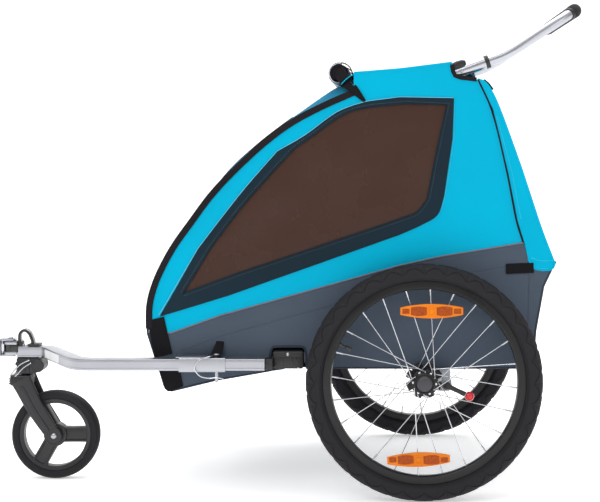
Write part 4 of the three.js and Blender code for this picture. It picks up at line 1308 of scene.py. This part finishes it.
def tow_arm():
    bend_back = spline([(-690, -340, 284), (-712, -340, 284), (-732, -333, 284), (-748, -316, 284)], 5)
    bend_front = spline([(-828, -166, 284), (-842, -149, 284), (-862, NOSE_Y, 284)], 5)
    line = [*[(x, -340, 284) for x in (-338, -420, -520, -630)], *bend_back, *bend_front, (-885, NOSE_Y, 284),
            (-908.3, NOSE_Y, 284)]
    arm = Piece("tow_arm_extrusion", "aluminium", slot="aluminium")
    arm.sweep(line, grooved(16, 12.5), (0, 0, 1))
    arm.done("tow_arm", crease=28)

    sleeve = Piece("arm_receiver_sleeve", "aluminium", slot="aluminium")
    sleeve.pipe([(x, -340, 284) for x in (-519, -518.4, -470, -421.6, -421)], rounded(19.5, 15, 3, 4),
                rounded(16.4, 12.9, 1.6, 4), (0, 0, 1))
    sleeve.block((-498, -442), (-321.5, -269.3), (277, 290), 2)
    sleeve.block((-526, -460), (-356, -322), (298.6, 301.4), 1.2)
    sleeve.block((-500, -440), (-303, -299), (270, 297), 1.6)
    for x in (-488, -452):
        sleeve.lathe([[0, 295.4], [2.6, 295.2], [4.6, 293.6], [5, 290]], (x, -311, 0), 6, "Z")
    sleeve.done("arm_receiver")

    anchor = Piece("arm_anchor_block", "plastic", slot="black_plastic")
    anchor.block((-322, -258), (-331, -269.5), (272, 309), 4, 3)
    anchor.block((-318, -262), (-333.6, -329), (277, 296), 2)
    anchor.block((-337.6, -321), (-352, -322), (272.5, 295.5), 2.4, 3)
    anchor.block((-337.6, -330), (-353.4, -321), (281, 287), 1)
    for x in (-310, -300, -280, -270):
        anchor.block((x - 1.6, x + 1.6), (-335, -332), (279, 294), 0.7)
    anchor.done("arm_anchor")
    rivet = Piece("anchor_rivet", "steel", slot="steel")
    rivet.rod((-290, -330, 303), (-290, -334.4, 303), [(4.6, 0), (4.4, 0.4), (3.2, 0.8), (1.5, 1)], 20)
    rivet.rod((-268, -330, 274.8), (-268, -333.4, 274.8), [(2.6, 0), (2.4, 0.5), (1.2, 1)], 16)
    rivet.done()

    pin = Piece("hitch_pin_body", "steel", "hitch_pin", "steel")
    pin.lathe([(0, 245), (2, 245.3), (3.4, 247), (3.5, 248), (3.5, 299.6), (6, 300.4), (6.6, 302),
               (6.6, 304.4), (5.6, 306), (0, 306.2)], (-441, -340, 0), 28, "Z")
    pin.done("hitch_pin")
    wire = Piece("hitch_pin_wire", "wire", "hitch_pin_clip", "steel")
    route = [(-444, -347, 303), (-455, -361, 302), (-477, -363, 294), (-485, -363, 278), (-474, -363, 262),
             (-455, -362, 257), (-437, -362, 258), (-424, -362, 255)]
    wire.tube(spline(route, 8), 1.25, 10)
    wire.done("hitch_pin_clip")
    label = Piece("blank_label", "label", slot="black_plastic")
    ahead = (bend_front[0] - bend_back[-1]).normalized()
    out = Vector((-ahead.y, ahead.x, 0))
    label.ribbon([bend_back[-1].lerp(bend_front[0], share) + out * 16.2 for share in (0.36, 0.7, 0.99)], 18,
                 0.5, out)
    label.done()


def coupling():
    block = Piece("tow_coupling_block", "gloss", slot="black_plastic")
    nose = [(-908.6, -155), (-908.6, -125), *[(YOKE_X + 15 * math.cos(a), NOSE_Y + 15 * math.sin(a))
                                             for a in (math.radians(90 + 9 * i) for i in range(21))]]
    block.plate(nose, 278.6, 308.4, 2.2, "XY")
    block.block((-924, -905), (-157.2, -122.8), (283, 304), 3, 3)
    block.done("tow_coupling")
    yoke = Piece("coupling_yoke_plates", "steel", "coupling_yoke", "steel")
    outline = [(-917, -152), (-914, -149), (-914, -131), (-917, -128), (-945, -128), (-945, -152)]
    for low, high in ((309, 313), (274, 278)):
        yoke.plate(outline, low, high, 0.9, "XY")
    yoke.block((-948, -945), (-158, -122), (274, 313), 1.2)
    yoke.lathe([(0, 272.6), (5.6, 273), (6, 274), (3.3, 274.2), (3.3, 312.8), (6, 313), (5.6, 315.6),
                (0, 316.4)],
               (YOKE_X, NOSE_Y, 0), 28, "Z")
    yoke.lathe([(0, -3), (3, -3), (4, -2), (4, 0)], (-947.4, -149, 284), 12, "X")
    yoke.lathe([(0, -3), (3, -3), (4, -2), (4, 0)], (-947.4, -131, 303), 12, "X")
    yoke.done("coupling_yoke")
    bands = Piece("coupling_bands", "steel", slot="steel")
    for z in (281.6, 304.4):
        ring = [(-908.8, -156.6), (YOKE_X, -156.2),
                *[(YOKE_X + 16.2 * math.cos(a), NOSE_Y + 16.2 * math.sin(a))
                for a in (math.radians(270 - 9 * i) for i in range(1, 20))], (YOKE_X, -123.8),
                (-908.8, -123.4)]
        bands.sweep([(x, y, z) for x, y in ring], rounded(1.4, 3.2, 0.8, 2), (0, 0, 1))
    for x in (-896, -886):
        bands.lathe([[0, 301.6], [3, 301.2], [3.8, 300], [3.8, 296.4]], (x, -146, 0), 6, "Z")
    bands.done()
    strap = Piece("safety_strap_loop", "gloss", slot="black_fabric")
    loop = spline([(-903, NOSE_Y, 303), (-904.5, NOSE_Y, 314), (-903, NOSE_Y, 325), (-895, NOSE_Y, 332),
                   (-885, NOSE_Y, 328), (-877, NOSE_Y, 313), (-873, NOSE_Y, 298)], 6)
    middle = Vector((-892, NOSE_Y, 308))
    strap.sweep(loop, rounded(12, 3.2, 2.4, 3), [p - middle for p in loop])
    strap.done("safety_strap")
    clamp = Piece("strap_clamp", "plastic", slot="black_plastic")
    clamp.block((-884, -858), (-157, -123), (296.6, 302.4), 2)
    clamp.block((-908, -897), (-153, -127), (296.6, 307.6), 2.6)
    clamp.done()


# ---------------------------------------------------------------- caster
def caster():
    head = Piece("steering_head_block", "plastic", slot="black_plastic")
    head.plate([(-908, 270.6), (-908, 243), (-903, 236.8), (-866, 236.8), (-860, 244), (-860, 270.6)], -164,
               -116, 2.4)
    head.rod((-860, -165, 254), (-860, -115, 254), [(12, 0), (14, 0.03), (14, 0.97), (12, 1)], 40)
    head.plate([(-910, 262), (-910, 256), (-868, 256), (-868, 262)], -166, -114, 1.4)
    for x in (-900, -890, -880):
        head.block((x - 2, x + 2), (-166, -114), (240, 252), 1)
    head.done("steering_head")
    clip = Piece("head_wire_clip", "wire", slot="steel")
    for _, hand in SIDES:
        y = NOSE_Y + hand * 26.4
        loop = [(-878, y, 268), (-898, y, 258), (-917, y + hand, 238), (-921, y + hand, 231),
                (-917, y + hand, 227.5), (-908, y + hand, 233), (-892, y, 250), (-874, y, 262)]
        clip.tube(spline(loop, 6), 1.7, 10)
    clip.tube([(-921, y, 231) for y in (-168.6, -154, NOSE_Y, -126, -111.4)], 1.6, 10)
    clip.done()

    fork = Piece("caster_fork_body", "plastic", "caster_fork", "black_plastic")
    fork.block((-922, -876), (-170, -110), (210, 234), 7, 4)
    for z in (216, 221, 226):
        fork.block((-924, -874), (-171.2, -108.8), (z - 1, z + 1), 0.8)
    fork.rod((-885, NOSE_Y, 225), (-885, NOSE_Y, 262), [(9.7, 0), (9.7, 0.96), (8.4, 1)])
    for _, hand in SIDES:
        y = NOSE_Y + hand * 26
        line = spline([(-897, y, 224), (-887, y, 204), (-866, y, 163), (-838, y, 120),
                       (CASTER_X, y, CASTER_RADIUS)], 6)
        taper = [max(1.0, 1.36 - 0.018 * i) for i in range(len(line))]
        fork.sweep(line, rounded(17, 4, 3.2, 4), (0, hand, 0), scale=taper)
        ridge = [p + Vector((-4, hand * 4.6, -3)) for p in line[3:-3]]
        fork.sweep(ridge, rounded(5.5, 1.4, 1.1, 2), (0, hand, 0),
                   scale=[0.4, 0.8, *[1] * (len(ridge) - 4), 0.8, 0.4])
        fork.rod((CASTER_X, NOSE_Y + hand * 21.5, CASTER_RADIUS),
                 (CASTER_X, NOSE_Y + hand * 30.6, CASTER_RADIUS), [(17, 0), (18, 0.2), (18, 0.8), (16.4, 1)],
                 40)
    fork.done("caster_fork")
    axle = Piece("caster_axle", "steel", "caster_fork", "steel")
    for _, hand in SIDES:
        axle.rod((CASTER_X, NOSE_Y + hand * 29, CASTER_RADIUS), (CASTER_X, NOSE_Y + hand * 34, CASTER_RADIUS),
                 [(7, 0), (6.8, 0.3), (5.4, 0.7), (2.4, 1)], 28)
    axle.done()

    place = Matrix.Translation((CASTER_X, NOSE_Y, CASTER_RADIUS))
    tyre = Piece("caster_tyre_ring", "rubber", "caster_wheel", "tyre_rubber", place)
    tyre.lathe([(80.2, -14.6), (82, -16.6), (88, -18.8), (92.6, -18), (96, -14.6), (97.8, -10.8),
                (CASTER_RADIUS, -6), (97.6, -5.2), (97.6, -4.2), (CASTER_RADIUS, -3.4), (CASTER_RADIUS, 3.4),
                (97.6, 4.2), (97.6, 5.2), (CASTER_RADIUS, 6), (97.8, 10.8), (96, 14.6), (92.6, 18),
                (88, 18.8), (82, 16.6), (80.2, 14.6), (80.2, -14.6)],
               sides=120)
    tyre.done("caster_tyre")
    rim = Piece("caster_rim_body", "plastic", "caster_wheel", "black_plastic", place)
    rim.lathe([(70.6, -11.6), (71.4, -13), (74, -14), (79, -15), (80, -14.4), (80, 14.4), (79, 15), (74, 14),
               (71.4, 13), (70.6, 11.6), (70.6, -11.6)], sides=120)
    rim.lathe([(5.6, -18), (13, -18), (14, -17), (15, -15), (23, -15.6), (25.4, -14.6), (26, -13), (26, 13),
               (25.4, 14.6), (23, 15.6), (15, 15), (14, 17), (13, 18), (5.6, 18), (5.6, -18)], sides=72)
    for degrees in (0, 120, 240):
        a = math.radians(degrees)
        out, aside = Vector((math.cos(a), 0, -math.sin(a))), Vector((math.sin(a), 0, math.cos(a)))
        rim.sweep([out * r for r in (20, 30, 45, 60, 72)], rounded(9.5, 15.5, 2, 3), aside,
                  scale=[1.08, 1.02, 0.98, 1.02, 1.1])
        for hand in (-1, 1):
            rail = [out * r + aside * (hand * 14) for r in (21, 30, 45, 60, 73)]
            rim.sweep(rail, rounded(12.6, 2.4, 1.4, 2), aside, scale=[1.05, 1, 0.98, 1, 1.05])
    rim.done("caster_rim")


# ---------------------------------------------------------------- CAD nodes that are shown as they are
def finish_cad_nodes():
    shown = {
        "aluminium": ["floor_rail_left", "floor_rail_right", "front_cross_tube", "rear_cross_tube"],
        "steel": ["axle_beam", "brake_pin_left", "brake_pin_right"],
        "bracket": ["brake_bracket_left", "brake_bracket_right"],
        "plastic": ["axle_receiver_left", "axle_receiver_right"],
    }
    for look, names in shown.items():
        for name in names:
            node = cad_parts[name]
            node.data.materials.clear()
            node.data.materials.append(LOOKS[look])
            soft = node.modifiers.new("softened_edges", "BEVEL")
            soft.width = 0.0012
            soft.segments = 2
            soft.limit_method = "ANGLE"
            soft.angle_limit = math.radians(40)


make_camera()
make_studio()
for side_name, hand in SIDES:
    cabin_side(side_name, hand)
    harness(side_name, hand)
    main_wheel(side_name, hand)
roof_and_covers()
tub_ends_and_floor()
rolled_cover()
seats()
upper_frame()
rear_legs()
push_bar()
floor_and_axle()
brake()
tow_arm()
coupling()
caster()
finish_cad_nodes()
